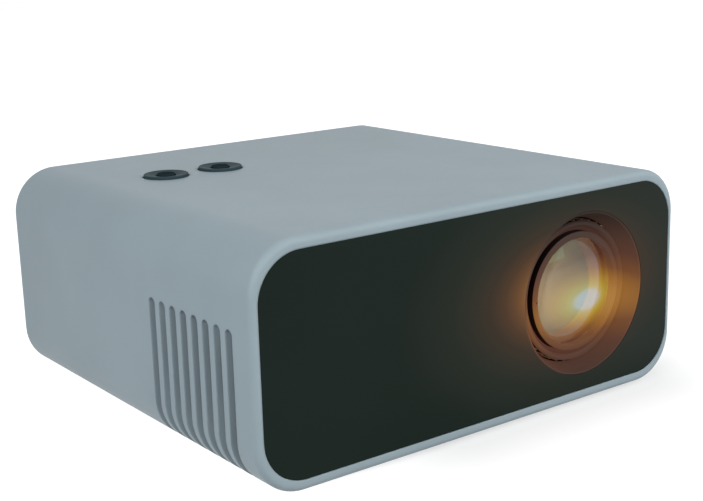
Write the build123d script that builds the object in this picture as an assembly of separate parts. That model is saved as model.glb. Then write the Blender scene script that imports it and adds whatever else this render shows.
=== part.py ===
from build123d import *
import math
import os

# Projector with a built-in disc player.
# Millimetres, +Z up. The lens looks towards -Y, and the disc tray leaves towards +Y.
# The origin is the middle of the object's footprint, on the table.

# ---------------------------------------------------------------- housing
SHELL_WIDTH = 240.0
SHELL_DEPTH = 220.5
SHELL_HEIGHT = 103.5
SHELL_CORNER_R = 22.0
SHELL_WALL = 3.3
FRONT_EDGE_R = 3.0
REAR_EDGE_R = 1.0
RIM_HEIGHT = 4.9            # shell edge above and below the front panel
PANEL_CORNER_R = 20.0
PANEL_THICKNESS = 2.5
PANEL_RECESS = 0.3
PANEL_GAP = 0.15
LEDGE_WIDTH = 4.0           # inner step that the panels lie against
LEDGE_THICKNESS = 2.5
FOOT_HEIGHT = 2.0

# Vent slots on both sides
SLOT_COUNT = 8
SLOT_PITCH = 8.8
SLOT_WIDTH = 5.0
SLOT_REAR_Y = -31.9         # centre of the rearmost slot
SLOT_TOP_Z = 69.6
SLOT_BELLY_REACH = 15.0     # how far a slot runs under the belly
RIB_WIDTH = 3.0
RIB_DEPTH = 2.2
RIB_BOTTOM_Z = 18.0
FILTER_DEPTH = 2.2
FILTER_CELL_DEPTH = 1.1
FILTER_BAR = 1.1

# Base plate
PLATE_SIDE_MARGIN = 25.0
PLATE_END_MARGIN = 12.0
PLATE_THICKNESS = 2.5
PLATE_GAP = 0.2
FRAME_WIDTH = 7.0           # step that the base plate screws to
FRAME_THICKNESS = 2.8
FRAME_FLANGE = 3.0
FOOT_R = 7.0
FOOT_RECESS = 0.8
FOOT_PLUG_R = 2.5
FOOT_BULB_R = 3.3
FOOT_BULB_HEIGHT = 1.5
FOOT_EDGE_R = 0.5
FOOT_INSET_X = 15.0         # foot centres in from the base plate's edges
FOOT_INSET_Y = 16.25

# Self-tapping screw, the same everywhere
SCREW_R = 1.45
SCREW_LENGTH = 8.0
SCREW_HEAD_R = 2.75
SCREW_HEAD_HEIGHT = 1.5
SCREW_PASS_GAP = 0.2
SCREW_CROSS_WIDTH = 0.7
SCREW_CROSS_LENGTH = 3.6
SCREW_CROSS_DEPTH = 0.8
BOSS_R = 3.6

# Tilt foot and tripod insert
TILT_X = 0.0
TILT_INSET = 22.25          # in from the base plate's front edge
TILT_TRAVEL = 12.0
TILT_PAD_R = 9.5
TILT_PAD_BOTTOM = 0.8
TILT_PAD_THICKNESS = 2.2
TILT_PAD_EDGE_R = 0.55
TILT_STEM_R = 2.0
TILT_STEM_HEIGHT = 2.4
TILT_KNOB_R = 11.0
TILT_KNOB_THICKNESS = 3.6
TILT_SHANK_R = 3.0
TILT_SHANK_SPARE = 15.0     # thread that stays in its boss when the foot is screwed out
TILT_KNURLS = 24
TILT_KNURL_R = 0.6
TILT_BOSS_R = 6.0
TILT_BOSS_HEIGHT = 10.0
TILT_WELL_WALL = 1.8
TRIPOD_X = 0.0
TRIPOD_Y = -30.0
TRIPOD_BORE_R = 2.6
TRIPOD_BODY_R = 4.8
TRIPOD_FLANGE_R = 6.4
TRIPOD_FLANGE_THICKNESS = 1.0
TRIPOD_LENGTH = 9.0
TRIPOD_BOSS_R = 7.6

# Clearances
RUN_GAP = 0.05              # round pins that turn or slide in bores
FREE_GAP = 0.3              # moving faces that must not touch

# Spare room across the inside: left of the disc drive, between it and the light engine, and right of that
ROOM_SHARES = (8.7, 7.0, 12.8)

# ---------------------------------------------------------------- lens
LENS_DROP = 0.5             # lens axis below the body's middle
PANEL_HOLE_R = 38.3
LENS_R = 26.4
LENS_MID_R = 22.8
RETAINER_COVER = 1.2         # how far the retaining ring reaches over the front glass
RETAINER_LIP = 0.8
BARREL_WALL = 1.6
BARREL_FRONT = 6.2          # depths from here on are behind the shell's front edge
BARREL_LENGTH = 44.0
FRONT_SEAT = 14.0
FRONT_EDGE_THICKNESS = 4.0
FRONT_SAG = 4.5
MIDDLE_SEAT = 24.0
MIDDLE_EDGE_THICKNESS = 7.0
MIDDLE_SAG = 2.2
REAR_SEAT = 37.0
REAR_EDGE_THICKNESS = 4.0
REAR_SAG = 2.6
CELL_LIP = 1.4
TUBE_WALL = 1.6
TUBE_FRONT = 9.0
TUBE_COLLAR_WIDTH = 2.5
TUBE_FLANGE_THICKNESS = 3.0
FOCUS_TRAVEL = 6.0
FOCUS_TURN = 100.0          # degrees for the whole travel
CAM_PIN_R = 1.4
CAM_PIN_DEPTH = 20.0
CAM_PIN_COUNT = 3
CAM_GROOVE_DEPTH = 1.5
CAM_END_MARGIN = 8.0        # degrees of groove past each end of the turn
RING_WALL = 2.7
RING_FRONT = 6.4
RING_LENGTH = 24.0
RING_CHAMFER = 0.7
RING_RIB_COUNT = 40
RING_RIB_R = 0.7
RING_RIB_START = 1.5
RING_RIB_LENGTH = 12.0
FUNNEL_FRONT = 0.5
FUNNEL_LIP = 0.8
FUNNEL_DEPTH = 9.5
FUNNEL_RING_GAP = 1.2
FUNNEL_WALL = 1.4
FUNNEL_FLANGE_R = 42.0
FUNNEL_FLANGE_THICKNESS = 1.6
FUNNEL_FIT = 0.2

# ---------------------------------------------------------------- light engine
ENGINE_WIDTH = 66.0
ENGINE_HEIGHT = 66.0
ENGINE_WALL = 2.0
ENGINE_FRONT = 47.0
ENGINE_EAR = 6.5
ENGINE_EAR_THICKNESS = 3.0
ENGINE_EAR_LENGTH = 12.0
ENGINE_EAR_INSET = 15.5      # ear centres in from the engine's ends
ENGINE_SCREW_INSET = 5.0
ENGINE_POST_X = 13.0         # posts to the lens axis
ENGINE_POST_INSET = 6.4      # posts in from the engine's ends
PANE_GROOVE = 1.0
PANE_RAIL = 2.0
PANE_FIT = 0.1
FIELD_AHEAD = 72.0           # distances from here on are in front of the engine's rear end
FIELD_THICKNESS = 1.8
LCD_AHEAD = 66.0
LCD_THICKNESS = 2.4
COLLIMATOR_AHEAD = 60.0
COLLIMATOR_THICKNESS = 1.8
HEAT_GLASS_AHEAD = 51.0
HEAT_GLASS_THICKNESS = 1.4
FRESNEL_STEP = 3.0
FRESNEL_HEIGHT = 0.5
FRESNEL_RINGS = 8
CONDENSER_AHEAD = 32.0
CONDENSER_R = 27.0
CONDENSER_EDGE = 2.5
CONDENSER_SAG = 8.0
LED_BOARD = 34.0
LED_BOARD_THICKNESS = 1.6
LED_EMITTER_R = 7.0
LED_EMITTER_EDGE = 0.75
LED_EMITTER_SAG = 3.0
SINK_BASE = 6.0
SINK_FIN_DEPTH = 22.0
SINK_FIN_COUNT = 11
SINK_FIN_THICKNESS = 1.6
SINK_FAN_GAP = 1.7
FAN_SIZE = 60.0
FAN_THICKNESS = 15.0
FAN_CORNER_R = 4.0
FAN_BORE_R = 28.6
FAN_HOLE_INSET = 5.0
FAN_HOLE_R = 2.1
FAN_PEG_R = 1.9
FAN_PEG_LENGTH = 8.0
FAN_POST_R = 3.6
FAN_POST_LENGTH = 3.0
FAN_HUB_R = 12.5
FAN_MOTOR_R = 11.0
FAN_MOTOR_THICKNESS = 3.0
FAN_STRUT_WIDTH = 2.6
FAN_STRUTS = 4
FAN_BLADES = 7
FAN_BLADE_THICKNESS = 1.2
FAN_BLADE_PITCH = 38.0
FAN_TIP_GAP = 0.8
FAN_SHAFT_R = 1.5
POST_R = 3.2

# ---------------------------------------------------------------- disc drive
DRIVE_BOTTOM = 26.0
DRIVE_WIDTH = 128.0
DRIVE_DEPTH = 127.0
DRIVE_HEIGHT = 12.7
DRIVE_SHEET = 0.6
DRIVE_LEDGE_GAP = 0.6       # drive case to the shell's rear step
DRIVE_POST_INSET = 30.0
TRAY_FLOOR_GAP = 0.6
TRAY_DECK_BOTTOM = 7.6      # heights above the drive's underside
TRAY_DECK_TOP = 10.4
TRAY_REAR_GAP = 0.8
TRAY_SIDE_WALL = 2.8
TRAY_END_WALL = 1.6
DISC_RECESS_R = 60.8
DISC_RECESS_DEPTH = 1.8
DISC_RECESS_EDGE = 1.5
DISC_HUB_R = 7.4
DISC_HUB_HEIGHT = 2.2
SWAGE_R = 30.4              # raised ring in the drive's cover
SWAGE_WIDTH = 2.4
SWAGE_HEIGHT = 0.3
GUIDE_WIDTH = 3.0
GUIDE_HEIGHT = 5.8
GUIDE_LIFT = 0.8
RAIL_HEIGHT = 3.0
RAIL_END_GAP = 6.8          # from a rail's end to the drive's mouth
RAIL_ENGAGE = 1.3
GUIDE_TRAY_GAP = 0.6
TURNTABLE_R = 14.7
TURNTABLE_THICKNESS = 1.1
TURNTABLE_SHAFT_R = 1.0
MOTOR_R = 11.5
MOTOR_PLATE_THICKNESS = 1.0
MOTOR_PLATE_HALF_WIDTH = 12.6
MOTOR_PLATE_REACH = 18.0
MOTOR_PLATE_BACK = 16.0
SLED_LENGTH = 16.0
SLED_HALF_WIDTH = 20.0
SLED_HEIGHT = 3.8
SLED_BOTTOM = 2.4
SLED_START = 21.0           # sled centre from the disc's centre, innermost
SLED_TRAVEL = 31.0
SLED_HEAD_HALF = 5.0
SLED_HEAD_OFFSET = 2.0
SLED_HEAD_TOP = 7.9
SLED_LENS_R = 3.0
SLED_LENS_HEIGHT = 0.4
SLED_WINDOW_HALF = 13.0
ROD_SPACING = 16.0
ROD_R = 1.5
ROD_HEIGHT = 4.3
ROD_SOCKET = 1.0
ROD_BOSS_HALF = 2.6
ROD_BOSS_LENGTH = 5.0
SCREW_SPACING = 24.0
LEAD_R = 1.4
LEAD_THREAD_DEPTH = 0.35
LEAD_THREAD_STEP = 3.0
SLED_MOTOR_HALF = 4.4
SLED_MOTOR_LENGTH = 14.0
BEZEL_GAP = 0.4
EJECT_X = 40.0
EJECT_WIDTH = 10.0
EJECT_HEIGHT = 3.6
EJECT_LENGTH = 3.8
LAMP_R = 0.9
LAMP_DEPTH = 1.2
LAMP_OFFSET = 10.0          # from the eject button's middle
PINHOLE_R = 0.6
PINHOLE_OFFSET = 20.0

# ---------------------------------------------------------------- top controls
KEY_INSETS = (50.2, 80.5)   # navigation and playback key, in from the shell's left side
KEY_REAR_INSET = 68.5       # in from the shell's rear edge
KEY_R = 10.7
KEY_GAP = 0.5
KEY_RISE = 1.3
KEY_DISH = 0.8
KEY_EDGE_R = 0.5
KEY_RIM_R = 0.4
KEY_BORE_R = 4.9
KEY_FLANGE_R = 13.0
KEY_FLANGE_THICKNESS = 1.1
KEY_FLANGE_DROP = 1.0
KEY_SKIRT_R = 7.6
KEY_PIVOT_DROP = 3.6        # pivots below the shell's top wall
KEY_PIN_R = 0.5
KEY_PIN_LENGTH = 1.5
KEY_SKIRT_BELOW = 1.2
SPIDER_GAP = 0.6
SPIDER_R = 13.4
SPIDER_THICKNESS = 1.8
BUTTON_R = 4.3
BUTTON_TRAVEL = 0.6
BUTTON_RISE = 0.2           # above the ring's rim
HOLDER_THICKNESS = 1.4
HOLDER_HALF_DEPTH = 19.0
HOLDER_HOLE_R = 9.2
HOLDER_LUG_WIDTH = 4.0
HOLDER_LUG_THICKNESS = 1.8
HOLDER_LUG_RISE = 1.2
HOLDER_DROP = 6.6           # holder's underside below the shell's top wall
SWITCH_R = 6.3
SWITCH_SIZE = 3.2
SWITCH_HEIGHT = 3.0
SWITCH_TIP_R = 0.8
SWITCH_TIP_HEIGHT = 0.8
KEY_BOARD_DROP = 9.4
KEY_BOARD_THICKNESS = 1.6
KEY_BOARD_HALF_WIDTH = 38.0
KEY_BOARD_HALF_DEPTH = 22.0
KEY_POST_INSET = 4.5

# ---------------------------------------------------------------- electronics
BOARD_LEFT_INSET = 36.0      # in from the drive's sides
BOARD_RIGHT_INSET = 12.0
BOARD_REAR_INSET = 5.05     # in from the ports' mouths
BOARD_DEPTH = 96.0
BOARD_LIFT = 5.4
BOARD_THICKNESS = 1.6
BOARD_POST_INSET = 4.0
PORT_FRONT_GAP = 1.2        # port mouths behind the shell's rear edge
PORT_DEPTH = 13.0
PORT_CUT_GAP = 0.3
CHIP_X = 24.0               # places on the board are from its left and front edges
CHIP_Y = 33.6
CHIP_HALF = 11.2
SPREADER_HEIGHT = 3.2
SPREADER_FINS = 6
SPREADER_FIN_THICKNESS = 0.8
SPREADER_FIN_TOP = 6.4
MEMORY_X = 40.0
MEMORY_Y = (21.0, 33.6)
MEMORY_WIDTH = 12.8
MEMORY_DEPTH = 8.0
MEMORY_HEIGHT = 1.6
CAPACITOR_X = 68.8
CAPACITOR_Y = 19.2
CAPACITOR_PITCH = 13.4
CAPACITOR_COUNT = 4
CAPACITOR_R = 3.25
CAPACITOR_HEIGHT = 10.6
VIDEO_INSET = 10.0          # port middles from the board's left edge
VIDEO_WIDTH = 15.0
VIDEO_HEIGHT = 5.6
VIDEO_BEVEL = 1.4
VIDEO_WALL = 0.6
VIDEO_MOUTH_DEPTH = 10.4
VIDEO_TONGUE_WIDTH = 10.0
VIDEO_TONGUE_THICKNESS = 1.2
DATA_INSET = 32.0
DATA_WIDTH = 13.1
DATA_HEIGHT = 5.8
DATA_WALL = 0.5
DATA_MOUTH_DEPTH = 11.7
DATA_TONGUE_LIFT = 3.6
DATA_TONGUE_THICKNESS = 1.4
PORT_TONGUE_DROP = 1.1      # tongues end this far inside the ports' mouths
PORT_TONGUE_ROOT = 0.5
AUDIO_INSETS = (50.0, 62.0)
AUDIO_WIDTH = 8.0
AUDIO_HEIGHT = 6.4
AUDIO_BORE_R = 1.8
AUDIO_BORE_DEPTH = 11.0
DC_INSET = 74.5
DC_WIDTH = 9.0
DC_HEIGHT = 10.6
DC_BORE_R = 3.2
DC_BORE_DEPTH = 9.5
DC_PIN_R = 1.05
DC_PIN_DROP = 1.0
RECEIVER_INSET = 52.0
RECEIVER_DROP = 35.5        # down from the shell's top
RECEIVER_R = 3.8
RECEIVER_FLANGE_R = 5.4
RECEIVER_FLANGE_THICKNESS = 3.0
GRILLE_BARS = 9
GRILLE_PITCH = 6.4
GRILLE_GAP = 3.6

# Loudspeaker
SPEAKER_Z = 48.0
SPEAKER_PLATE_THICKNESS = 1.8
SPEAKER_SIZE = 59.0
SPEAKER_CORNER_R = 6.0
SPEAKER_CONE_R = 24.4
SPEAKER_HOLE_R = 25.0
SPEAKER_DEPTH = 14.0
SPEAKER_BACK_R = 13.0
SPEAKER_SHEET = 1.2
SPEAKER_COLLAR = 4.5        # straight part of the basket behind its plate
CONE_NECK_R = 7.4
CONE_SHEET = 0.8
CONE_FRONT_INSET = 1.4
COIL_WALL = 0.6
COIL_LENGTH = 8.5
MAGNET_R = 17.0
MAGNET_THICKNESS = 10.0
MAGNET_PLATE = 1.6
CONE_TRAVEL = 1.0

# ---------------------------------------------------------------- worked out from the sizes above
FRONT_Y = -SHELL_DEPTH / 2
REAR_Y = SHELL_DEPTH / 2
SIDE_X = SHELL_WIDTH / 2
BELLY_Z = FOOT_HEIGHT
TOP_Z = FOOT_HEIGHT + SHELL_HEIGHT
MID_Z = FOOT_HEIGHT + SHELL_HEIGHT / 2
CEILING_Z = TOP_Z - SHELL_WALL
OPENING_WIDTH = SHELL_WIDTH - 2 * SHELL_WALL
OPENING_HEIGHT = SHELL_HEIGHT - 2 * RIM_HEIGHT
PANEL_SEAT = PANEL_RECESS + PANEL_THICKNESS
LEDGE_END = PANEL_SEAT + LEDGE_THICKNESS
SLOTS_MID_Y = SLOT_REAR_Y - (SLOT_COUNT - 1) * SLOT_PITCH / 2
RIB_OFFSET = (SLOT_COUNT / 2 - 1) * SLOT_PITCH
PLATE_X = SIDE_X - PLATE_SIDE_MARGIN
PLATE_Y = REAR_Y - PLATE_END_MARGIN
FOOT_X = PLATE_X - FOOT_INSET_X
FOOT_Y = PLATE_Y - FOOT_INSET_Y
TILT_Y = TILT_INSET - PLATE_Y
PLATE_TOP = BELLY_Z + PLATE_THICKNESS
FRAME_TOP = PLATE_TOP + FRAME_THICKNESS
FLOOR_Z = PLATE_TOP
FILTER_X = SIDE_X - SHELL_WALL - RIB_DEPTH - FILTER_DEPTH
ROOM_LEFT = -SIDE_X + SHELL_WALL
ROOM_STEP = (FILTER_X - ROOM_LEFT - DRIVE_WIDTH - ENGINE_WIDTH - ENGINE_EAR) / sum(ROOM_SHARES)
DRIVE_LEFT = ROOM_LEFT + ROOM_SHARES[0] * ROOM_STEP
DRIVE_RIGHT = DRIVE_LEFT + DRIVE_WIDTH
DRIVE_X = DRIVE_LEFT + DRIVE_WIDTH / 2
LENS_X = DRIVE_RIGHT + ROOM_SHARES[1] * ROOM_STEP + ENGINE_WIDTH / 2
LENS_Z = MID_Z - LENS_DROP
RETAINER_BORE_R = LENS_R - RETAINER_COVER
BARREL_R = LENS_R + BARREL_WALL
TUBE_BORE_R = BARREL_R + FREE_GAP
TUBE_R = TUBE_BORE_R + TUBE_WALL
RING_BORE_R = TUBE_R + FREE_GAP
RING_R = RING_BORE_R + RING_WALL
RING_END = RING_FRONT + RING_LENGTH
FAN_FRONT = SHELL_DEPTH - PANEL_SEAT - FAN_POST_LENGTH - FAN_THICKNESS
ENGINE_END = FAN_FRONT - SINK_FAN_GAP - SINK_FIN_DEPTH - SINK_BASE
FIELD_DEPTH = ENGINE_END - FIELD_AHEAD
LCD_DEPTH = ENGINE_END - LCD_AHEAD
COLLIMATOR_DEPTH = ENGINE_END - COLLIMATOR_AHEAD
HEAT_GLASS_DEPTH = ENGINE_END - HEAT_GLASS_AHEAD
CONDENSER_DEPTH = ENGINE_END - CONDENSER_AHEAD
ENGINE_BOTTOM = LENS_Z - ENGINE_HEIGHT / 2
DRIVE_TOP = DRIVE_BOTTOM + DRIVE_HEIGHT
DRIVE_MOUTH_Y = REAR_Y - LEDGE_END - DRIVE_LEDGE_GAP
DRIVE_BACK_Y = DRIVE_MOUTH_Y - DRIVE_DEPTH
DRIVE_INNER_X = DRIVE_WIDTH / 2 - DRIVE_SHEET
TRAY_BODY_X = DRIVE_INNER_X - GUIDE_WIDTH - GUIDE_TRAY_GAP
TRAY_DECK_X = DRIVE_INNER_X - FREE_GAP
TRAY_BACK_Y = DRIVE_BACK_Y + DRIVE_SHEET + TRAY_REAR_GAP
TRAY_FRONT_Y = DRIVE_MOUTH_Y
DISC_Y = TRAY_FRONT_Y - DISC_RECESS_EDGE - DISC_RECESS_R
KEY_X = tuple(inset - SIDE_X for inset in KEY_INSETS)
KEY_Y = REAR_Y - KEY_REAR_INSET
KEY_MID_X = sum(KEY_X) / len(KEY_X)
PIVOT_Z = CEILING_Z - KEY_PIVOT_DROP
KEY_TOP_Z = TOP_Z + KEY_RISE
KEY_BOARD_TOP = CEILING_Z - KEY_BOARD_DROP
KEY_POST_X = KEY_BOARD_HALF_WIDTH - KEY_POST_INSET
KEY_POST_Y = KEY_BOARD_HALF_DEPTH - KEY_POST_INSET
PORT_MOUTH_Y = REAR_Y - PORT_FRONT_GAP
BOARD_LEFT = DRIVE_LEFT + BOARD_LEFT_INSET
BOARD_RIGHT = DRIVE_RIGHT - BOARD_RIGHT_INSET
BOARD_REAR = PORT_MOUTH_Y - BOARD_REAR_INSET
BOARD_FRONT = BOARD_REAR - BOARD_DEPTH
BOARD_BOTTOM = FLOOR_Z + BOARD_LIFT
BOARD_TOP = BOARD_BOTTOM + BOARD_THICKNESS
VIDEO_X = BOARD_LEFT + VIDEO_INSET
DATA_X = BOARD_LEFT + DATA_INSET
AUDIO_X = tuple(BOARD_LEFT + inset for inset in AUDIO_INSETS)
DC_X = BOARD_LEFT + DC_INSET
RECEIVER_X = BOARD_LEFT + RECEIVER_INSET
RECEIVER_Z = TOP_Z - RECEIVER_DROP
SPEAKER_X = -SIDE_X + SHELL_WALL + RIB_DEPTH


# ---------------------------------------------------------------- shape helpers
def block(x0, x1, y0, y1, z0, z1):
    """Box between two corners."""
    return Pos((x0 + x1) / 2, (y0 + y1) / 2, (z0 + z1) / 2) * Box(x1 - x0, y1 - y0, z1 - z0)


def rod_x(x0, x1, y, z, r):
    return Pos((x0 + x1) / 2, y, z) * Rot(0, 90, 0) * Cylinder(r, x1 - x0)


def rod_y(x, y0, y1, z, r):
    return Pos(x, (y0 + y1) / 2, z) * Rot(90, 0, 0) * Cylinder(r, y1 - y0)


def rod_z(x, y, z0, z1, r):
    return Pos(x, y, (z0 + z1) / 2) * Cylinder(r, z1 - z0)


def turned_x(profile, y, z):
    """Solid of revolution about a line along X, from (x, radius) points."""
    face = make_face(Polyline(*[(x, r, 0) for x, r in profile], close=True))
    return Pos(0, y, z) * revolve(face, Axis.X)


def turned_y(profile, x, z):
    """Solid of revolution about a line along Y, from (radius, y) points."""
    face = make_face(Polyline(*[(r, y, 0) for r, y in profile], close=True))
    return Pos(x, 0, z) * revolve(face, Axis.Y)


def turned_z(profile, x, y):
    """Solid of revolution about a line along Z, from (radius, z) points."""
    face = make_face(Polyline(*[(r, 0, z) for r, z in profile], close=True))
    return Pos(x, y, 0) * revolve(face, Axis.Z)


def bar_y(width, height, radius, y0, y1):
    """Rounded rectangle drawn out along Y, about the body's middle."""
    outline = Plane.XZ * RectangleRounded(width, height, radius)
    return Pos(0, y0, MID_Z) * extrude(outline, amount=y0 - y1)


def front(depth):
    """Y of a point that lies this deep behind the shell's front edge."""
    return FRONT_Y + depth


def lens_rod(r, depth0, depth1):
    return rod_y(LENS_X, front(depth0), front(depth1), LENS_Z, r)


def lens_pipe(r_out, r_in, depth0, depth1):
    return lens_rod(r_out, depth0, depth1) - lens_rod(r_in, depth0, depth1)


def tidy_plate(width, height, radius, y0, y1, x, z):
    """Rounded plate across Y, about its own centre."""
    outline = Plane.XZ * RectangleRounded(width, height, radius)
    return Pos(x, y0, z) * extrude(outline, amount=y0 - y1)


# ---------------------------------------------------------------- screws
# A screw's own frame: its head bears on z = 0 and its shank runs towards +Z.
def corners(half_x, half_y):
    return [(sx * half_x, sy * half_y) for sx in (-1, 1) for sy in (-1, 1)]


def base_screw_places():
    x = PLATE_X - FRAME_WIDTH / 2
    y = PLATE_Y - FRAME_WIDTH / 2
    places = corners(x, y) + [(-x, 0), (x, 0)]
    return [Location((px, py, BELLY_Z + SCREW_HEAD_HEIGHT + PANEL_GAP)) for px, py in places]


def rear_screw_places():
    inset = PANEL_CORNER_R * (1 - math.sqrt(0.5)) + LEDGE_WIDTH / 2
    x = OPENING_WIDTH / 2 - inset
    z = OPENING_HEIGHT / 2 - inset
    y = REAR_Y - PANEL_RECESS - SCREW_HEAD_HEIGHT
    return [Location((px, y, MID_Z + pz), (90, 0, 0)) for px, pz in corners(x, z)]


def engine_ear_depths():
    first = ENGINE_FRONT + ENGINE_EAR_INSET
    last = ENGINE_END - ENGINE_EAR_INSET
    return first, (first + last) / 2, last


def engine_screw_places():
    x = ENGINE_WIDTH / 2 + ENGINE_EAR / 2
    z = LENS_Z + ENGINE_EAR_THICKNESS
    return [Location((LENS_X + side * x, front(depth), z), (180, 0, 0))
            for side in (-1, 1) for depth in engine_ear_depths()]


def tube_screw_places():
    x = ENGINE_WIDTH / 2 - ENGINE_SCREW_INSET
    z = ENGINE_HEIGHT / 2 - ENGINE_SCREW_INSET
    y = front(ENGINE_FRONT - TUBE_FLANGE_THICKNESS)
    return [Location((LENS_X + px, y, LENS_Z + pz), (-90, 0, 0)) for px, pz in corners(x, z)]


def key_screw_places():
    z = KEY_BOARD_TOP - KEY_BOARD_THICKNESS
    return [Location((KEY_MID_X + px, KEY_Y + py, z)) for px, py in corners(KEY_POST_X, KEY_POST_Y)]


def board_post_places():
    x0 = BOARD_LEFT + BOARD_POST_INSET
    x1 = BOARD_RIGHT - BOARD_POST_INSET
    y0 = BOARD_FRONT + BOARD_POST_INSET
    y1 = BOARD_REAR - PORT_DEPTH - BOARD_POST_INSET
    return [(x, y) for x in (x0, x1) for y in (y0, y1)]


def board_screw_places():
    return [Location((x, y, BOARD_TOP), (180, 0, 0)) for x, y in board_post_places()]


def one_screw():
    head = Pos(0, 0, -SCREW_HEAD_HEIGHT / 2) * Cylinder(SCREW_HEAD_R, SCREW_HEAD_HEIGHT)
    shank = Pos(0, 0, SCREW_LENGTH / 2) * Cylinder(SCREW_R, SCREW_LENGTH)
    screw = head + shank
    for turn in (0, 90):
        bar = Box(SCREW_CROSS_LENGTH, SCREW_CROSS_WIDTH, SCREW_CROSS_DEPTH)
        screw -= Pos(0, 0, -SCREW_HEAD_HEIGHT + SCREW_CROSS_DEPTH / 2) * Rot(0, 0, turn) * bar
    return screw


def pilot_holes(places):
    """Holes that the screws cut their thread in."""
    return [place * Pos(0, 0, SCREW_LENGTH / 2) * Cylinder(SCREW_R, SCREW_LENGTH) for place in places]


def pass_holes(places, depth):
    """Plain holes through the piece that the screws clamp, with room for the heads."""
    cuts = []
    for place in places:
        cuts.append(place * Pos(0, 0, depth / 2) * Cylinder(SCREW_R + SCREW_PASS_GAP, depth))
        cuts.append(place * Pos(0, 0, -SCREW_LENGTH / 2)
                    * Cylinder(SCREW_HEAD_R + SCREW_PASS_GAP, SCREW_LENGTH))
    return cuts


def bosses(places, start, length, radius):
    return [place * Pos(0, 0, start + length / 2) * Cylinder(radius, length) for place in places]


def make_housing_screws():
    places = (base_screw_places() + rear_screw_places() + engine_screw_places()
              + tube_screw_places() + key_screw_places() + board_screw_places())
    screw = one_screw()
    return Compound([place * screw for place in places])


# ---------------------------------------------------------------- housing pieces
def slot_cutter(side, y):
    """One vent slot: rounded at the top, and open under the belly."""
    outer = side * (SIDE_X + 1)
    inner = side * (SIDE_X - SLOT_BELLY_REACH)
    x0, x1 = min(outer, inner), max(outer, inner)
    half = SLOT_WIDTH / 2
    straight = block(x0, x1, y - half, y + half, BELLY_Z - 1, SLOT_TOP_Z - half)
    return straight + rod_x(x0, x1, y, SLOT_TOP_Z - half, half)


def side_rib(side, y):
    """Inner rib between two slots, which the speaker or the filter is glued to."""
    wall = side * (SIDE_X - SHELL_WALL / 2)
    inner = side * (SIDE_X - SHELL_WALL - RIB_DEPTH)
    x0, x1 = min(wall, inner), max(wall, inner)
    return block(x0, x1, y - RIB_WIDTH / 2, y + RIB_WIDTH / 2, RIB_BOTTOM_Z, SLOT_TOP_Z)


def end_opening(y_edge, inward):
    """The stepped opening in one end of the shell that takes a panel."""
    def span(depth0, depth1):
        ends = (y_edge + inward * depth0, y_edge + inward * depth1)
        return min(ends), max(ends)
    seat = bar_y(OPENING_WIDTH, OPENING_HEIGHT, PANEL_CORNER_R, *span(-1, PANEL_SEAT))
    step = bar_y(OPENING_WIDTH - 2 * LEDGE_WIDTH, OPENING_HEIGHT - 2 * LEDGE_WIDTH,
                 PANEL_CORNER_R - LEDGE_WIDTH, *span(-1, LEDGE_END))
    return seat + step


def make_main_shell():
    shell = bar_y(SHELL_WIDTH, SHELL_HEIGHT, SHELL_CORNER_R, FRONT_Y, REAR_Y)
    shell = fillet(shell.faces().sort_by(Axis.Y)[0].edges(), FRONT_EDGE_R)
    shell = fillet(shell.faces().sort_by(Axis.Y)[-1].edges(), REAR_EDGE_R)
    shell -= end_opening(FRONT_Y, 1)
    shell -= end_opening(REAR_Y, -1)
    # the steps make way for the funnel's flange and for the disc drive's mouth
    shell -= lens_rod(FUNNEL_FLANGE_R + PANEL_GAP, PANEL_SEAT, LEDGE_END)
    shell -= bezel_window(REAR_Y - LEDGE_END, REAR_Y - PANEL_SEAT)
    shell -= bar_y(SHELL_WIDTH - 2 * SHELL_WALL, SHELL_HEIGHT - 2 * SHELL_WALL,
                   SHELL_CORNER_R - SHELL_WALL, FRONT_Y + LEDGE_END, REAR_Y - LEDGE_END)
    # bottom frame that the base plate lies against
    frame_x = PLATE_X + FRAME_FLANGE
    frame_y = min(PLATE_Y + FRAME_FLANGE, REAR_Y - LEDGE_END)
    shell += block(-frame_x, frame_x, -frame_y, frame_y, BELLY_Z + SHELL_WALL / 2, FRAME_TOP)
    shell -= block(-PLATE_X, PLATE_X, -PLATE_Y, PLATE_Y, BELLY_Z - 1, PLATE_TOP)
    inner_x = PLATE_X - FRAME_WIDTH
    inner_y = PLATE_Y - FRAME_WIDTH
    shell -= block(-inner_x, inner_x, -inner_y, inner_y, BELLY_Z - 1, FRAME_TOP + 1)
    # screw bosses
    boss_top = SCREW_LENGTH + PANEL_GAP
    rise = PLATE_TOP - BELLY_Z - SCREW_HEAD_HEIGHT - PANEL_GAP
    shell += bosses(base_screw_places(), rise, boss_top - rise, BOSS_R)
    rear_start = PANEL_THICKNESS - SCREW_HEAD_HEIGHT
    shell += bosses(rear_screw_places(), rear_start, boss_top - rear_start, BOSS_R)
    post_top = CEILING_Z - KEY_BOARD_TOP
    for place in key_screw_places():
        x, y = place.position.X, place.position.Y
        shell += rod_z(x, y, KEY_BOARD_TOP, KEY_BOARD_TOP + post_top + SHELL_WALL / 2, BOSS_R)
    for side in (-1, 1):
        for y in (SLOTS_MID_Y - RIB_OFFSET, SLOTS_MID_Y + RIB_OFFSET):
            shell += side_rib(side, y)
    for places in (base_screw_places(), rear_screw_places(), key_screw_places()):
        shell -= pilot_holes(places)
    shell -= [slot_cutter(side, SLOT_REAR_Y - i * SLOT_PITCH)
              for side in (-1, 1) for i in range(SLOT_COUNT)]
    shell -= [rod_z(x, KEY_Y, CEILING_Z - 1, TOP_Z + 1, KEY_R + KEY_GAP) for x in KEY_X]
    return shell


def foot_places():
    return corners(FOOT_X, FOOT_Y)


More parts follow.
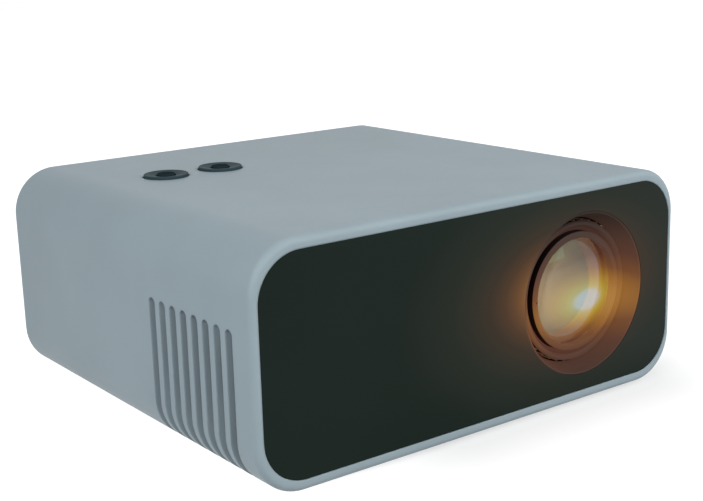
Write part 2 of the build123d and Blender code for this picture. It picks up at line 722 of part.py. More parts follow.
def drive_post_places():
    """Posts under the drive, left of the main board and between it and the light engine."""
    left = BOARD_LEFT - POST_R - PANEL_GAP
    right = BOARD_RIGHT + POST_R + PANEL_GAP
    back = DRIVE_BACK_Y + 2 * POST_R
    mouth = DRIVE_MOUTH_Y - DRIVE_POST_INSET
    return [(x, y) for x in (left, right) for y in (back, mouth)]


def engine_post_places():
    depths = (ENGINE_FRONT + ENGINE_POST_INSET, ENGINE_END - ENGINE_POST_INSET)
    return [(LENS_X + side * ENGINE_POST_X, front(depth)) for side in (-1, 1) for depth in depths]


def tilt_well_top():
    return TILT_PAD_BOTTOM + TILT_PAD_THICKNESS + FREE_GAP + TILT_KNOB_THICKNESS + FREE_GAP


def make_base_plate():
    gap = PLATE_GAP
    plate = block(-PLATE_X + gap, PLATE_X - gap, -PLATE_Y + gap, PLATE_Y - gap, BELLY_Z, PLATE_TOP)
    well_r = TILT_KNOB_R + FREE_GAP
    well_top = tilt_well_top()
    plate += rod_z(TILT_X, TILT_Y, BELLY_Z, well_top + TILT_WELL_WALL, well_r + TILT_WELL_WALL)
    boss_top = well_top + TILT_WELL_WALL + TILT_BOSS_HEIGHT
    plate += rod_z(TILT_X, TILT_Y, BELLY_Z, boss_top, TILT_BOSS_R)
    plate += rod_z(TRIPOD_X, TRIPOD_Y, BELLY_Z, BELLY_Z + TRIPOD_LENGTH, TRIPOD_BOSS_R)
    plate += [rod_z(x, y, BELLY_Z, BOARD_BOTTOM, BOSS_R) for x, y in board_post_places()]
    plate += [rod_z(x, y, BELLY_Z, DRIVE_BOTTOM, POST_R) for x, y in drive_post_places()]
    plate += [rod_z(x, y, BELLY_Z, ENGINE_BOTTOM, POST_R) for x, y in engine_post_places()]
    plate -= rod_z(TILT_X, TILT_Y, BELLY_Z - 1, well_top, well_r)
    plate -= rod_z(TILT_X, TILT_Y, BELLY_Z - 1, boss_top + 1, TILT_SHANK_R + RUN_GAP)
    plate -= rod_z(TRIPOD_X, TRIPOD_Y, BELLY_Z, BELLY_Z + TRIPOD_LENGTH, TRIPOD_BODY_R)
    plate -= rod_z(TRIPOD_X, TRIPOD_Y, BELLY_Z, BELLY_Z + TRIPOD_FLANGE_THICKNESS, TRIPOD_FLANGE_R)
    for x, y in foot_places():
        plate -= rod_z(x, y, BELLY_Z, BELLY_Z + FOOT_RECESS, FOOT_R)
        plate -= rod_z(x, y, BELLY_Z, PLATE_TOP, FOOT_PLUG_R)
    plate -= pass_holes(base_screw_places(), SCREW_LENGTH)
    plate -= pilot_holes(board_screw_places())
    return plate


def make_rubber_feet():
    feet = []
    for x, y in foot_places():
        foot = rod_z(x, y, 0, BELLY_Z + FOOT_RECESS, FOOT_R)
        foot = fillet(foot.edges().sort_by(Axis.Z)[0], FOOT_EDGE_R)
        foot += rod_z(x, y, BELLY_Z + FOOT_RECESS, PLATE_TOP + FOOT_BULB_HEIGHT, FOOT_PLUG_R)
        foot += rod_z(x, y, PLATE_TOP, PLATE_TOP + FOOT_BULB_HEIGHT, FOOT_BULB_R)
        feet.append(foot)
    return Compound(feet)


def make_tilt_foot_pad():
    top = TILT_PAD_BOTTOM + TILT_PAD_THICKNESS
    pad = rod_z(TILT_X, TILT_Y, TILT_PAD_BOTTOM, top, TILT_PAD_R)
    pad = fillet(pad.edges().sort_by(Axis.Z)[0], TILT_PAD_EDGE_R)
    return pad + rod_z(TILT_X, TILT_Y, top, top + TILT_STEM_HEIGHT, TILT_STEM_R)


def make_tilt_foot_screw():
    bottom = TILT_PAD_BOTTOM + TILT_PAD_THICKNESS + FREE_GAP
    top = bottom + TILT_KNOB_THICKNESS
    screw = rod_z(TILT_X, TILT_Y, bottom, top, TILT_KNOB_R)
    for i in range(TILT_KNURLS):
        turn = Rot(0, 0, 360 * i / TILT_KNURLS)
        notch = turn * rod_z(TILT_KNOB_R, 0, bottom, top, TILT_KNURL_R)
        screw -= Pos(TILT_X, TILT_Y, 0) * notch
    screw += rod_z(TILT_X, TILT_Y, top, top + TILT_TRAVEL + TILT_SHANK_SPARE, TILT_SHANK_R)
    socket_top = bottom - FREE_GAP + TILT_STEM_HEIGHT + FREE_GAP
    return screw - rod_z(TILT_X, TILT_Y, bottom, socket_top, TILT_STEM_R + RUN_GAP)


def make_tripod_insert():
    insert = rod_z(TRIPOD_X, TRIPOD_Y, BELLY_Z, BELLY_Z + TRIPOD_LENGTH, TRIPOD_BODY_R)
    insert += rod_z(TRIPOD_X, TRIPOD_Y, BELLY_Z, BELLY_Z + TRIPOD_FLANGE_THICKNESS, TRIPOD_FLANGE_R)
    return insert - rod_z(TRIPOD_X, TRIPOD_Y, BELLY_Z - 1, BELLY_Z + TRIPOD_LENGTH + 1, TRIPOD_BORE_R)


def make_front_panel():
    width = OPENING_WIDTH - 2 * PANEL_GAP
    height = OPENING_HEIGHT - 2 * PANEL_GAP
    radius = PANEL_CORNER_R - PANEL_GAP
    panel = bar_y(width, height, radius, front(PANEL_RECESS), front(PANEL_SEAT))
    return panel - lens_rod(PANEL_HOLE_R, -1, LEDGE_END)


def bezel_window(y0, y1):
    half = DRIVE_WIDTH / 2 + BEZEL_GAP
    return block(DRIVE_X - half, DRIVE_X + half, y0, y1, DRIVE_BOTTOM - BEZEL_GAP,
                 DRIVE_TOP + BEZEL_GAP)


def port_windows():
    """Cut-outs in the rear panel for the ports, the tray and the receiver."""
    y0 = REAR_Y - LEDGE_END
    y1 = REAR_Y + 1

    def window(x, width, height):
        half = width / 2 + PORT_CUT_GAP
        return block(x - half, x + half, y0, y1, BOARD_TOP - PORT_CUT_GAP,
                     BOARD_TOP + height + PORT_CUT_GAP)

    cuts = [window(VIDEO_X, VIDEO_WIDTH, VIDEO_HEIGHT), window(DATA_X, DATA_WIDTH, DATA_HEIGHT)]
    cuts += [window(x, AUDIO_WIDTH, AUDIO_HEIGHT) for x in AUDIO_X]
    cuts.append(window(DC_X, DC_WIDTH, DC_HEIGHT))
    cuts.append(bezel_window(y0, y1))
    cuts.append(rod_y(RECEIVER_X, y0, y1, RECEIVER_Z, RECEIVER_R))
    return cuts


def fan_corner_places():
    half = FAN_SIZE / 2 - FAN_HOLE_INSET
    return [(LENS_X + x, LENS_Z + z) for x, z in corners(half, half)]


def fan_rear_y():
    return REAR_Y - PANEL_SEAT - FAN_POST_LENGTH


def make_rear_panel():
    width = OPENING_WIDTH - 2 * PANEL_GAP
    height = OPENING_HEIGHT - 2 * PANEL_GAP
    inner_y = REAR_Y - PANEL_SEAT
    panel = bar_y(width, height, PANEL_CORNER_R - PANEL_GAP, inner_y, REAR_Y - PANEL_RECESS)
    panel -= port_windows()
    grille_disc = rod_y(LENS_X, inner_y, REAR_Y, LENS_Z, FAN_BORE_R)
    first = LENS_Z - (GRILLE_BARS - 1) * GRILLE_PITCH / 2
    for i in range(GRILLE_BARS):
        z = first + i * GRILLE_PITCH
        gap = block(LENS_X - FAN_SIZE / 2, LENS_X + FAN_SIZE / 2, inner_y, REAR_Y,
                    z - GRILLE_GAP / 2, z + GRILLE_GAP / 2)
        panel -= gap & grille_disc
    for x, z in fan_corner_places():
        panel += rod_y(x, fan_rear_y(), inner_y, z, FAN_POST_R)
        panel += rod_y(x, fan_rear_y() - FAN_PEG_LENGTH, inner_y, z, FAN_PEG_R)
    return panel - pass_holes(rear_screw_places(), PANEL_THICKNESS)


def make_dust_filter():
    """Foam pad in a thin frame, glued to the ribs behind the right-hand slots."""
    x1 = FILTER_X + FILTER_DEPTH
    half = RIB_OFFSET + RIB_WIDTH
    frame = block(FILTER_X, x1, SLOTS_MID_Y - half, SLOTS_MID_Y + half, RIB_BOTTOM_Z, SLOT_TOP_Z)
    mesh_half = RIB_OFFSET - RIB_WIDTH
    cell = 2 * mesh_half / SLOT_COUNT
    for i in range(SLOT_COUNT):
        y = SLOTS_MID_Y - mesh_half + (i + 0.5) * cell
        half_cell = (cell - FILTER_BAR) / 2
        frame -= block(x1 - FILTER_CELL_DEPTH, x1, y - half_cell, y + half_cell,
                       RIB_BOTTOM_Z + RIB_WIDTH, SLOT_TOP_Z - RIB_WIDTH)
    return frame


def make_receiver():
    inner_y = REAR_Y - PANEL_SEAT
    flange = rod_y(RECEIVER_X, inner_y - RECEIVER_FLANGE_THICKNESS, inner_y, RECEIVER_Z,
                   RECEIVER_FLANGE_R)
    window = rod_y(RECEIVER_X, inner_y, REAR_Y - PANEL_RECESS, RECEIVER_Z, RECEIVER_R)
    return flange + window


# ---------------------------------------------------------------- lens pieces
def lens_ring(profile):
    """Turned piece on the lens axis, from (radius, depth) points."""
    return turned_y([(r, front(depth)) for r, depth in profile], LENS_X, LENS_Z)


def glass_face(radius, y_rim, sag, way):
    """Half outline of one face, from the axis to the rim; a positive sag bulges this way."""
    if not sag:
        return Line((0, y_rim, 0), (radius, y_rim, 0))
    middle = (radius / 2, y_rim + way * sag_at(radius, sag, radius / 2), 0)
    return ThreePointArc((0, y_rim + way * sag, 0), middle, (radius, y_rim, 0))


def glass(radius, seat, edge, front_sag, rear_sag):
    """Lens element: seat is the depth of its rear rim, edge is its thickness there."""
    y_rear = front(seat)
    y_front = y_rear - edge
    outline = [glass_face(radius, y_front, front_sag, -1),
               Line((radius, y_front, 0), (radius, y_rear, 0)),
               glass_face(radius, y_rear, rear_sag, 1),
               Line((0, y_front - front_sag, 0), (0, y_rear + rear_sag, 0))]
    return Pos(LENS_X, 0, LENS_Z) * revolve(make_face(Curve() + outline), Axis.Y)


def sag_at(radius, sag, r):
    """Height above the rim, at distance r from the axis, of a cap this wide and high."""
    ball = (radius ** 2 + sag ** 2) / (2 * abs(sag))
    height = math.sqrt(ball ** 2 - r ** 2) - (ball - abs(sag))
    return math.copysign(height, sag)


def make_lens_funnel():
    lip_r = PANEL_HOLE_R - FUNNEL_FIT
    back_r = RING_R + FUNNEL_RING_GAP
    return lens_ring([(lip_r - FUNNEL_LIP, FUNNEL_FRONT), (lip_r, FUNNEL_FRONT), (lip_r, PANEL_SEAT),
                      (FUNNEL_FLANGE_R, PANEL_SEAT),
                      (FUNNEL_FLANGE_R, PANEL_SEAT + FUNNEL_FLANGE_THICKNESS),
                      (lip_r, PANEL_SEAT + FUNNEL_FLANGE_THICKNESS),
                      (back_r + FUNNEL_WALL, FUNNEL_DEPTH), (back_r, FUNNEL_DEPTH)])


def cam_groove(turn_middle, radius, radial, axial):
    """Helical channel about the lens axis, centred on the pin's resting place."""
    sweep_turn = FOCUS_TURN + 2 * CAM_END_MARGIN
    pitch = FOCUS_TRAVEL * 360 / FOCUS_TURN
    height = pitch * sweep_turn / 360
    path = Helix(pitch=pitch, height=height, radius=radius)
    section = Plane(origin=path @ 0, x_dir=(1, 0, 0), z_dir=path % 0) * Rectangle(radial, axial)
    channel = sweep(section, path=path, is_frenet=True)
    turned = Rot(0, 0, turn_middle - sweep_turn / 2) * Pos(0, 0, -height / 2) * channel
    return Pos(LENS_X, front(CAM_PIN_DEPTH), LENS_Z) * Rot(-90, 0, 0) * turned


def make_focus_ring():
    ring = lens_pipe(RING_R, RING_BORE_R, RING_FRONT, RING_END)
    ring = chamfer(ring.edges().filter_by(GeomType.CIRCLE).sort_by(Axis.Y)[:2], RING_CHAMFER)
    start = front(RING_FRONT + RING_RIB_START)
    for i in range(RING_RIB_COUNT):
        angle = 2 * math.pi * i / RING_RIB_COUNT
        x = LENS_X + RING_R * math.cos(angle)
        z = LENS_Z + RING_R * math.sin(angle)
        ring += rod_y(x, start, start + RING_RIB_LENGTH, z, RING_RIB_R)
    axial = 2 * (CAM_PIN_R + FREE_GAP)
    radial = 2 * CAM_GROOVE_DEPTH
    for i in range(CAM_PIN_COUNT):
        ring -= cam_groove(360 * i / CAM_PIN_COUNT, RING_BORE_R, radial, axial)
    return ring


def cam_pins(r_in, r_out, radius, travel):
    """Radial pins, or the slots that they travel in along the lens axis."""
    y = front(CAM_PIN_DEPTH)
    length = r_out - r_in
    pins = []
    for i in range(CAM_PIN_COUNT):
        pin = Pos(r_in + length / 2, 0, 0) * Rot(0, 90, 0) * Cylinder(radius, length)
        if travel:
            pin += Pos(r_in + length / 2, 0, 0) * Box(length, travel, 2 * radius)
            for end in (-travel / 2, travel / 2):
                pin += Pos(r_in + length / 2, end, 0) * Rot(0, 90, 0) * Cylinder(radius, length)
        pins.append(Pos(LENS_X, y, LENS_Z) * Rot(0, 360 * i / CAM_PIN_COUNT, 0) * pin)
    return pins


def make_lens_tube():
    flange_front = ENGINE_FRONT - TUBE_FLANGE_THICKNESS
    tube = lens_pipe(TUBE_R, TUBE_BORE_R, TUBE_FRONT, flange_front)
    collar_front = RING_END + FREE_GAP
    tube += lens_pipe(RING_R, TUBE_BORE_R, collar_front, collar_front + TUBE_COLLAR_WIDTH)
    tube += tidy_plate(ENGINE_WIDTH, ENGINE_HEIGHT, FAN_CORNER_R, front(flange_front),
                       front(ENGINE_FRONT), LENS_X, LENS_Z)
    tube -= lens_rod(TUBE_BORE_R, flange_front, ENGINE_FRONT)
    tube -= cam_pins(TUBE_BORE_R - 1, TUBE_R + 1, CAM_PIN_R + FREE_GAP, FOCUS_TRAVEL)
    return tube - pass_holes(tube_screw_places(), TUBE_FLANGE_THICKNESS)


def make_lens_barrel():
    end = BARREL_FRONT + BARREL_LENGTH
    front_rim = FRONT_SEAT
    barrel = lens_ring([
        (LENS_R, BARREL_FRONT), (BARREL_R, BARREL_FRONT), (BARREL_R, end),
        (LENS_MID_R, end), (LENS_MID_R, MIDDLE_SEAT), (LENS_MID_R - CELL_LIP, MIDDLE_SEAT),
        (LENS_MID_R - CELL_LIP, front_rim), (LENS_R, front_rim)])
    pins = cam_pins(BARREL_R - BARREL_WALL, RING_BORE_R + CAM_GROOVE_DEPTH - FREE_GAP, CAM_PIN_R, 0)
    return barrel + pins


def make_lens_retainer():
    """Threaded ring that holds the front glass and covers the barrel's front edge."""
    glass_front = FRONT_SEAT - FRONT_EDGE_THICKNESS
    stop = glass_front - sag_at(LENS_R, FRONT_SAG, RETAINER_BORE_R)
    return lens_ring([
        (RETAINER_BORE_R, BARREL_FRONT - RETAINER_LIP), (BARREL_R, BARREL_FRONT - RETAINER_LIP),
        (BARREL_R, BARREL_FRONT), (LENS_R, BARREL_FRONT), (LENS_R, stop), (RETAINER_BORE_R, stop)])


def make_front_lens():
    return glass(LENS_R, FRONT_SEAT, FRONT_EDGE_THICKNESS, FRONT_SAG, 0)


def make_middle_lens():
    seat = MIDDLE_SEAT + MIDDLE_EDGE_THICKNESS
    return glass(LENS_MID_R, seat, MIDDLE_EDGE_THICKNESS, -MIDDLE_SAG, -MIDDLE_SAG)


def make_rear_lens():
    seat = REAR_SEAT + REAR_EDGE_THICKNESS
    return glass(LENS_MID_R, seat, REAR_EDGE_THICKNESS, REAR_SAG, REAR_SAG)


# ---------------------------------------------------------------- light engine pieces
def pane_cavity(depth, thickness):
    """Groove all round the engine's inside that a flat sheet slides in."""
    half_x = ENGINE_WIDTH / 2 - ENGINE_WALL + PANE_GROOVE
    half_z = ENGINE_HEIGHT / 2 - ENGINE_WALL + PANE_GROOVE
    return block(LENS_X - half_x, LENS_X + half_x, front(depth), front(depth + thickness),
                 LENS_Z - half_z, LENS_Z + half_z)


def pane(depth, thickness):
    half_x = ENGINE_WIDTH / 2 - ENGINE_WALL + PANE_GROOVE - PANE_FIT
    half_z = ENGINE_HEIGHT / 2 - ENGINE_WALL + PANE_GROOVE - PANE_FIT
    return block(LENS_X - half_x, LENS_X + half_x, front(depth), front(depth + thickness),
                 LENS_Z - half_z, LENS_Z + half_z)


def pane_sizes():
    return ((FIELD_DEPTH, FIELD_THICKNESS), (LCD_DEPTH, LCD_THICKNESS),
            (COLLIMATOR_DEPTH, COLLIMATOR_THICKNESS), (HEAT_GLASS_DEPTH, HEAT_GLASS_THICKNESS))


def make_engine_box():
    """Both halves of the light engine's housing in one, before the split."""
    half_x = ENGINE_WIDTH / 2
    half_z = ENGINE_HEIGHT / 2
    box = block(LENS_X - half_x, LENS_X + half_x, front(ENGINE_FRONT), front(ENGINE_END),
                LENS_Z - half_z, LENS_Z + half_z)
    box -= block(LENS_X - half_x + ENGINE_WALL, LENS_X + half_x - ENGINE_WALL,
                 front(ENGINE_FRONT + ENGINE_EAR_THICKNESS), front(ENGINE_END),
                 LENS_Z - half_z + ENGINE_WALL, LENS_Z + half_z - ENGINE_WALL)
    box -= lens_rod(TUBE_BORE_R, ENGINE_FRONT - 1, ENGINE_FRONT + ENGINE_EAR_THICKNESS + 1)
    box += bosses(tube_screw_places(), TUBE_FLANGE_THICKNESS, SCREW_LENGTH, BOSS_R)
    # condenser bulkhead
    bulkhead = block(LENS_X - half_x, LENS_X + half_x, front(CONDENSER_DEPTH - PANE_RAIL),
                     front(CONDENSER_DEPTH + CONDENSER_EDGE), LENS_Z - half_z, LENS_Z + half_z)
    bulkhead -= lens_rod(CONDENSER_R, CONDENSER_DEPTH, CONDENSER_DEPTH + CONDENSER_EDGE)
    bulkhead -= lens_rod(CONDENSER_R - CELL_LIP, CONDENSER_DEPTH - PANE_RAIL, CONDENSER_DEPTH)
    box += bulkhead
    ear_x = half_x + ENGINE_EAR
    for depth in engine_ear_depths():
        ears = block(LENS_X - ear_x, LENS_X + ear_x, front(depth - ENGINE_EAR_LENGTH / 2),
                     front(depth + ENGINE_EAR_LENGTH / 2), LENS_Z - SCREW_LENGTH,
                     LENS_Z + ENGINE_EAR_THICKNESS)
        ears -= block(LENS_X - half_x + ENGINE_WALL / 2, LENS_X + half_x - ENGINE_WALL / 2,
                      front(depth - ENGINE_EAR_LENGTH), front(depth + ENGINE_EAR_LENGTH),
                      LENS_Z - ENGINE_HEIGHT, LENS_Z + ENGINE_HEIGHT)
        box += ears
    for depth, thickness in pane_sizes():
        box -= pane_cavity(depth, thickness)
    return box


def half_space(upper):
    reach = SHELL_WIDTH
    z0, z1 = (LENS_Z, LENS_Z + reach) if upper else (LENS_Z - reach, LENS_Z)
    return block(LENS_X - reach, LENS_X + reach, -reach, reach, z0, z1)


def make_engine_lower():
    lower = make_engine_box() & half_space(False)
    lower -= pilot_holes(engine_screw_places())
    return lower - pilot_holes(tube_screw_places())


def make_engine_upper():
    upper = make_engine_box() & half_space(True)
    upper -= pass_holes(engine_screw_places(), ENGINE_EAR_THICKNESS)
    return upper - pilot_holes(tube_screw_places())


def fresnel(depth, thickness, side):
    """Flat lens sheet: fine rings stand on the face that looks to this side."""
    sheet = pane(depth, thickness)
    face_depth = depth if side < 0 else depth + thickness
    for i in range(FRESNEL_RINGS):
        r = FRESNEL_STEP * (i + 1)
        tip = face_depth + side * FRESNEL_HEIGHT
        sheet += lens_ring([(r - FRESNEL_HEIGHT, face_depth), (r, face_depth), (r, tip)])
    return sheet


def make_condenser_lens():
    return glass(CONDENSER_R, CONDENSER_DEPTH + CONDENSER_EDGE, CONDENSER_EDGE, 0, CONDENSER_SAG)


def make_led_module():
    half = LED_BOARD / 2
    face = ENGINE_END - LED_BOARD_THICKNESS
    board = block(LENS_X - half, LENS_X + half, front(face), front(ENGINE_END),
                  LENS_Z - half, LENS_Z + half)
    return board + glass(LED_EMITTER_R, face, LED_EMITTER_EDGE, LED_EMITTER_SAG, 0)


def make_heat_sink():
    half_x = ENGINE_WIDTH / 2
    half_z = ENGINE_HEIGHT / 2
    base_end = ENGINE_END + SINK_BASE
    sink = block(LENS_X - half_x, LENS_X + half_x, front(ENGINE_END), front(base_end),
                 LENS_Z - half_z, LENS_Z + half_z)
    pitch = (ENGINE_WIDTH - SINK_FIN_THICKNESS) / (SINK_FIN_COUNT - 1)
    for i in range(SINK_FIN_COUNT):
        x0 = LENS_X - half_x + i * pitch
        sink += block(x0, x0 + SINK_FIN_THICKNESS, front(base_end), front(base_end + SINK_FIN_DEPTH),
                      LENS_Z - half_z, LENS_Z + half_z)
    return sink


def make_fan_frame():
    y1 = fan_rear_y()
    y0 = y1 - FAN_THICKNESS
    frame = tidy_plate(FAN_SIZE, FAN_SIZE, FAN_CORNER_R, y0, y1, LENS_X, LENS_Z)
    frame -= rod_y(LENS_X, y0, y1, LENS_Z, FAN_BORE_R)
    motor_y = y1 - FAN_MOTOR_THICKNESS
    frame += rod_y(LENS_X, motor_y, y1, LENS_Z, FAN_MOTOR_R)
    for i in range(FAN_STRUTS):
        strut = block(0, FAN_BORE_R + 1, motor_y, y1, -FAN_STRUT_WIDTH / 2, FAN_STRUT_WIDTH / 2)
        frame += Pos(LENS_X, 0, LENS_Z) * Rot(0, 360 * (i + 0.5) / FAN_STRUTS, 0) * strut
    for x, z in fan_corner_places():
        frame -= rod_y(x, y0, y1, z, FAN_HOLE_R)
    return frame - rod_y(LENS_X, motor_y, y1, LENS_Z, FAN_SHAFT_R + RUN_GAP)


def fan_blade(hub_y0, hub_y1):
    """One pitched blade, cut to the space between the hub and the frame's bore."""
    tip_r = FAN_BORE_R - FAN_TIP_GAP
    depth = hub_y1 - hub_y0
    chord = depth / math.cos(math.radians(FAN_BLADE_PITCH))
    blade = Box(tip_r, chord, FAN_BLADE_THICKNESS)
    blade = Pos(tip_r / 2, (hub_y0 + hub_y1) / 2, 0) * Rot(FAN_BLADE_PITCH, 0, 0) * blade
    room = rod_y(0, hub_y0, hub_y1, 0, tip_r)
    return blade & room


def make_fan_impeller():
    motor_y = fan_rear_y() - FAN_MOTOR_THICKNESS
    y0 = fan_rear_y() - FAN_THICKNESS + FREE_GAP
    y1 = motor_y - FREE_GAP
    impeller = rod_y(0, y0, y1, 0, FAN_HUB_R)
    blade = fan_blade(y0, y1)
    for i in range(FAN_BLADES):
        impeller += Rot(0, 360 * i / FAN_BLADES, 0) * blade
    impeller += rod_y(0, y1, motor_y + FAN_MOTOR_THICKNESS, 0, FAN_SHAFT_R)
    return Pos(LENS_X, 0, LENS_Z) * impeller


# ---------------------------------------------------------------- disc drive pieces
# x is measured from the drive's middle here, and z from its underside.
def drive_block(x0, x1, y0, y1, z0, z1):
    return block(DRIVE_X + x0, DRIVE_X + x1, y0, y1, DRIVE_BOTTOM + z0, DRIVE_BOTTOM + z1)


def drive_rod_y(x, y0, y1, z, r):
    return rod_y(DRIVE_X + x, y0, y1, DRIVE_BOTTOM + z, r)


def drive_rod_z(x, y, z0, z1, r):
    return rod_z(DRIVE_X + x, y, DRIVE_BOTTOM + z0, DRIVE_BOTTOM + z1, r)


def rail_channel_z():
    """Bottom and top of the rail's channel, with clearance."""
    middle = DRIVE_SHEET + GUIDE_LIFT + GUIDE_HEIGHT / 2
    half = RAIL_HEIGHT / 2 + FREE_GAP
    return middle - half, middle + half


def make_drive_case():
    half = DRIVE_WIDTH / 2
    y0, y1 = DRIVE_BACK_Y, DRIVE_MOUTH_Y
    cover_z = DRIVE_HEIGHT - DRIVE_SHEET
    case = drive_block(-half, half, y0, y1, 0, cover_z)
    case -= drive_block(-DRIVE_INNER_X, DRIVE_INNER_X, y0 + DRIVE_SHEET, y1 + 1, DRIVE_SHEET, cover_z)
    z0, z1 = rail_channel_z()
    for side in (-1, 1):
        outer = side * (DRIVE_INNER_X + DRIVE_SHEET / 2)
        inner = side * (DRIVE_INNER_X - GUIDE_WIDTH)
        x0, x1 = min(outer, inner), max(outer, inner)
        case += drive_block(x0, x1, y0 + DRIVE_SHEET / 2, y1, DRIVE_SHEET + GUIDE_LIFT,
                            DRIVE_SHEET + GUIDE_LIFT + GUIDE_HEIGHT)
        groove = side * (DRIVE_INNER_X - GUIDE_WIDTH + RAIL_ENGAGE + FREE_GAP)
        x0, x1 = min(groove, inner), max(groove, inner)
        case -= drive_block(x0, x1, y0 + DRIVE_SHEET, y1, z0, z1)
    return case


def make_drive_cover():
    half = DRIVE_WIDTH / 2
    cover = drive_block(-half, half, DRIVE_BACK_Y, DRIVE_MOUTH_Y, DRIVE_HEIGHT - DRIVE_SHEET,
                        DRIVE_HEIGHT)
    swage = drive_rod_z(0, DISC_Y, DRIVE_HEIGHT, DRIVE_HEIGHT + SWAGE_HEIGHT, SWAGE_R)
    swage -= drive_rod_z(0, DISC_Y, DRIVE_HEIGHT, DRIVE_HEIGHT + SWAGE_HEIGHT, SWAGE_R - SWAGE_WIDTH)
    return cover + swage


def rod_front_y():
    return DISC_Y - ROD_BOSS_LENGTH / 2


def make_disc_tray():
    bottom = DRIVE_SHEET + TRAY_FLOOR_GAP
    tray = drive_block(-TRAY_BODY_X, TRAY_BODY_X, TRAY_BACK_Y, TRAY_FRONT_Y, bottom, TRAY_DECK_TOP)
    tray += drive_block(-TRAY_DECK_X, TRAY_DECK_X, TRAY_BACK_Y, TRAY_FRONT_Y, TRAY_DECK_BOTTOM,
                        TRAY_DECK_TOP)
    cavity_x = TRAY_BODY_X - TRAY_SIDE_WALL
    tray -= drive_block(-cavity_x, cavity_x, TRAY_BACK_Y + TRAY_END_WALL,
                        TRAY_FRONT_Y - TRAY_END_WALL, bottom - 1, TRAY_DECK_BOTTOM)
    tray -= drive_rod_z(0, DISC_Y, TRAY_DECK_TOP - DISC_RECESS_DEPTH, TRAY_DECK_TOP + 1, DISC_RECESS_R)
    window_end = DISC_Y - SLED_START - SLED_TRAVEL - SLED_LENGTH / 2
    tray -= drive_block(-SLED_WINDOW_HALF, SLED_WINDOW_HALF, window_end, DISC_Y, bottom, TRAY_DECK_TOP)
    z0, z1 = rail_channel_z()
    for side in (-1, 1):
        outer = side * TRAY_BODY_X
        inner = side * (TRAY_BODY_X - RAIL_ENGAGE - FREE_GAP)
        x0, x1 = min(outer, inner), max(outer, inner)
        tray -= drive_block(x0, x1, TRAY_BACK_Y, TRAY_FRONT_Y, z0, z1)
        x = side * ROD_SPACING
        tray += drive_block(x - ROD_BOSS_HALF, x + ROD_BOSS_HALF, rod_front_y(),
                            rod_front_y() + ROD_BOSS_LENGTH, SLED_BOTTOM,
                            TRAY_DECK_TOP - DISC_RECESS_DEPTH)
        tray -= drive_rod_y(x, TRAY_BACK_Y + TRAY_END_WALL - ROD_SOCKET,
                            rod_front_y() + ROD_BOSS_LENGTH, ROD_HEIGHT, ROD_R)
    tray -= drive_rod_z(0, DISC_Y, TRAY_DECK_BOTTOM, TRAY_DECK_TOP, TURNTABLE_R + 2 * FREE_GAP)
    tray -= drive_rod_y(SCREW_SPACING, TRAY_BACK_Y + TRAY_END_WALL - ROD_SOCKET,
                        TRAY_BACK_Y + TRAY_END_WALL, ROD_HEIGHT, LEAD_R + RUN_GAP)
    return tray


def make_tray_bezel():
    half = DRIVE_WIDTH / 2
    y0 = TRAY_FRONT_Y
    y1 = TRAY_FRONT_Y + DRIVE_LEDGE_GAP + LEDGE_END - PANEL_RECESS
    bezel = drive_block(-half, half, y0, y1, 0, DRIVE_HEIGHT)
    bezel = chamfer(bezel.faces().sort_by(Axis.Y)[-1].edges(), DRIVE_SHEET)
    z = DRIVE_HEIGHT / 2
    half_w = EJECT_WIDTH / 2 + FREE_GAP
    half_h = EJECT_HEIGHT / 2 + FREE_GAP
    bezel -= drive_block(EJECT_X - half_w, EJECT_X + half_w, y0, y1, z - half_h, z + half_h)
    bezel -= drive_rod_y(EJECT_X - LAMP_OFFSET, y1 - LAMP_DEPTH, y1, z, LAMP_R)
    return bezel - drive_rod_y(EJECT_X - PINHOLE_OFFSET, y0, y1, z, PINHOLE_R)


def make_eject_button():
    y1 = REAR_Y - PANEL_RECESS
    z = DRIVE_HEIGHT / 2
    button = drive_block(EJECT_X - EJECT_WIDTH / 2, EJECT_X + EJECT_WIDTH / 2, y1 - EJECT_LENGTH,
                         y1 + PANEL_GAP, z - EJECT_HEIGHT / 2, z + EJECT_HEIGHT / 2)
    return fillet(button.faces().sort_by(Axis.Y)[-1].edges(), FREE_GAP)


def make_tray_rail(side):
    z0, z1 = rail_channel_z()
    gap_inner = side * (TRAY_BODY_X - RAIL_ENGAGE)
    gap_outer = side * (DRIVE_INNER_X - GUIDE_WIDTH + RAIL_ENGAGE)
    x0, x1 = min(gap_inner, gap_outer), max(gap_inner, gap_outer)
    y0 = DRIVE_BACK_Y + DRIVE_SHEET + 2 * TRAY_REAR_GAP
    return drive_block(x0, x1, y0, DRIVE_MOUTH_Y - RAIL_END_GAP, z0 + FREE_GAP, z1 - FREE_GAP)


def turntable_bottom():
    return TRAY_DECK_BOTTOM + FREE_GAP


def make_spindle_motor():
    plate_z = TRAY_DECK_BOTTOM - MOTOR_PLATE_THICKNESS
    floor = DRIVE_SHEET + TRAY_FLOOR_GAP
    motor = drive_rod_z(0, DISC_Y, floor, TRAY_DECK_BOTTOM, MOTOR_R)
    motor += drive_block(-MOTOR_PLATE_HALF_WIDTH, MOTOR_PLATE_HALF_WIDTH, DISC_Y - MOTOR_PLATE_BACK,
                         DISC_Y + MOTOR_PLATE_REACH, plate_z, TRAY_DECK_BOTTOM)
    return motor - drive_rod_z(0, DISC_Y, floor + DRIVE_SHEET, TRAY_DECK_BOTTOM,
                               TURNTABLE_SHAFT_R + RUN_GAP)


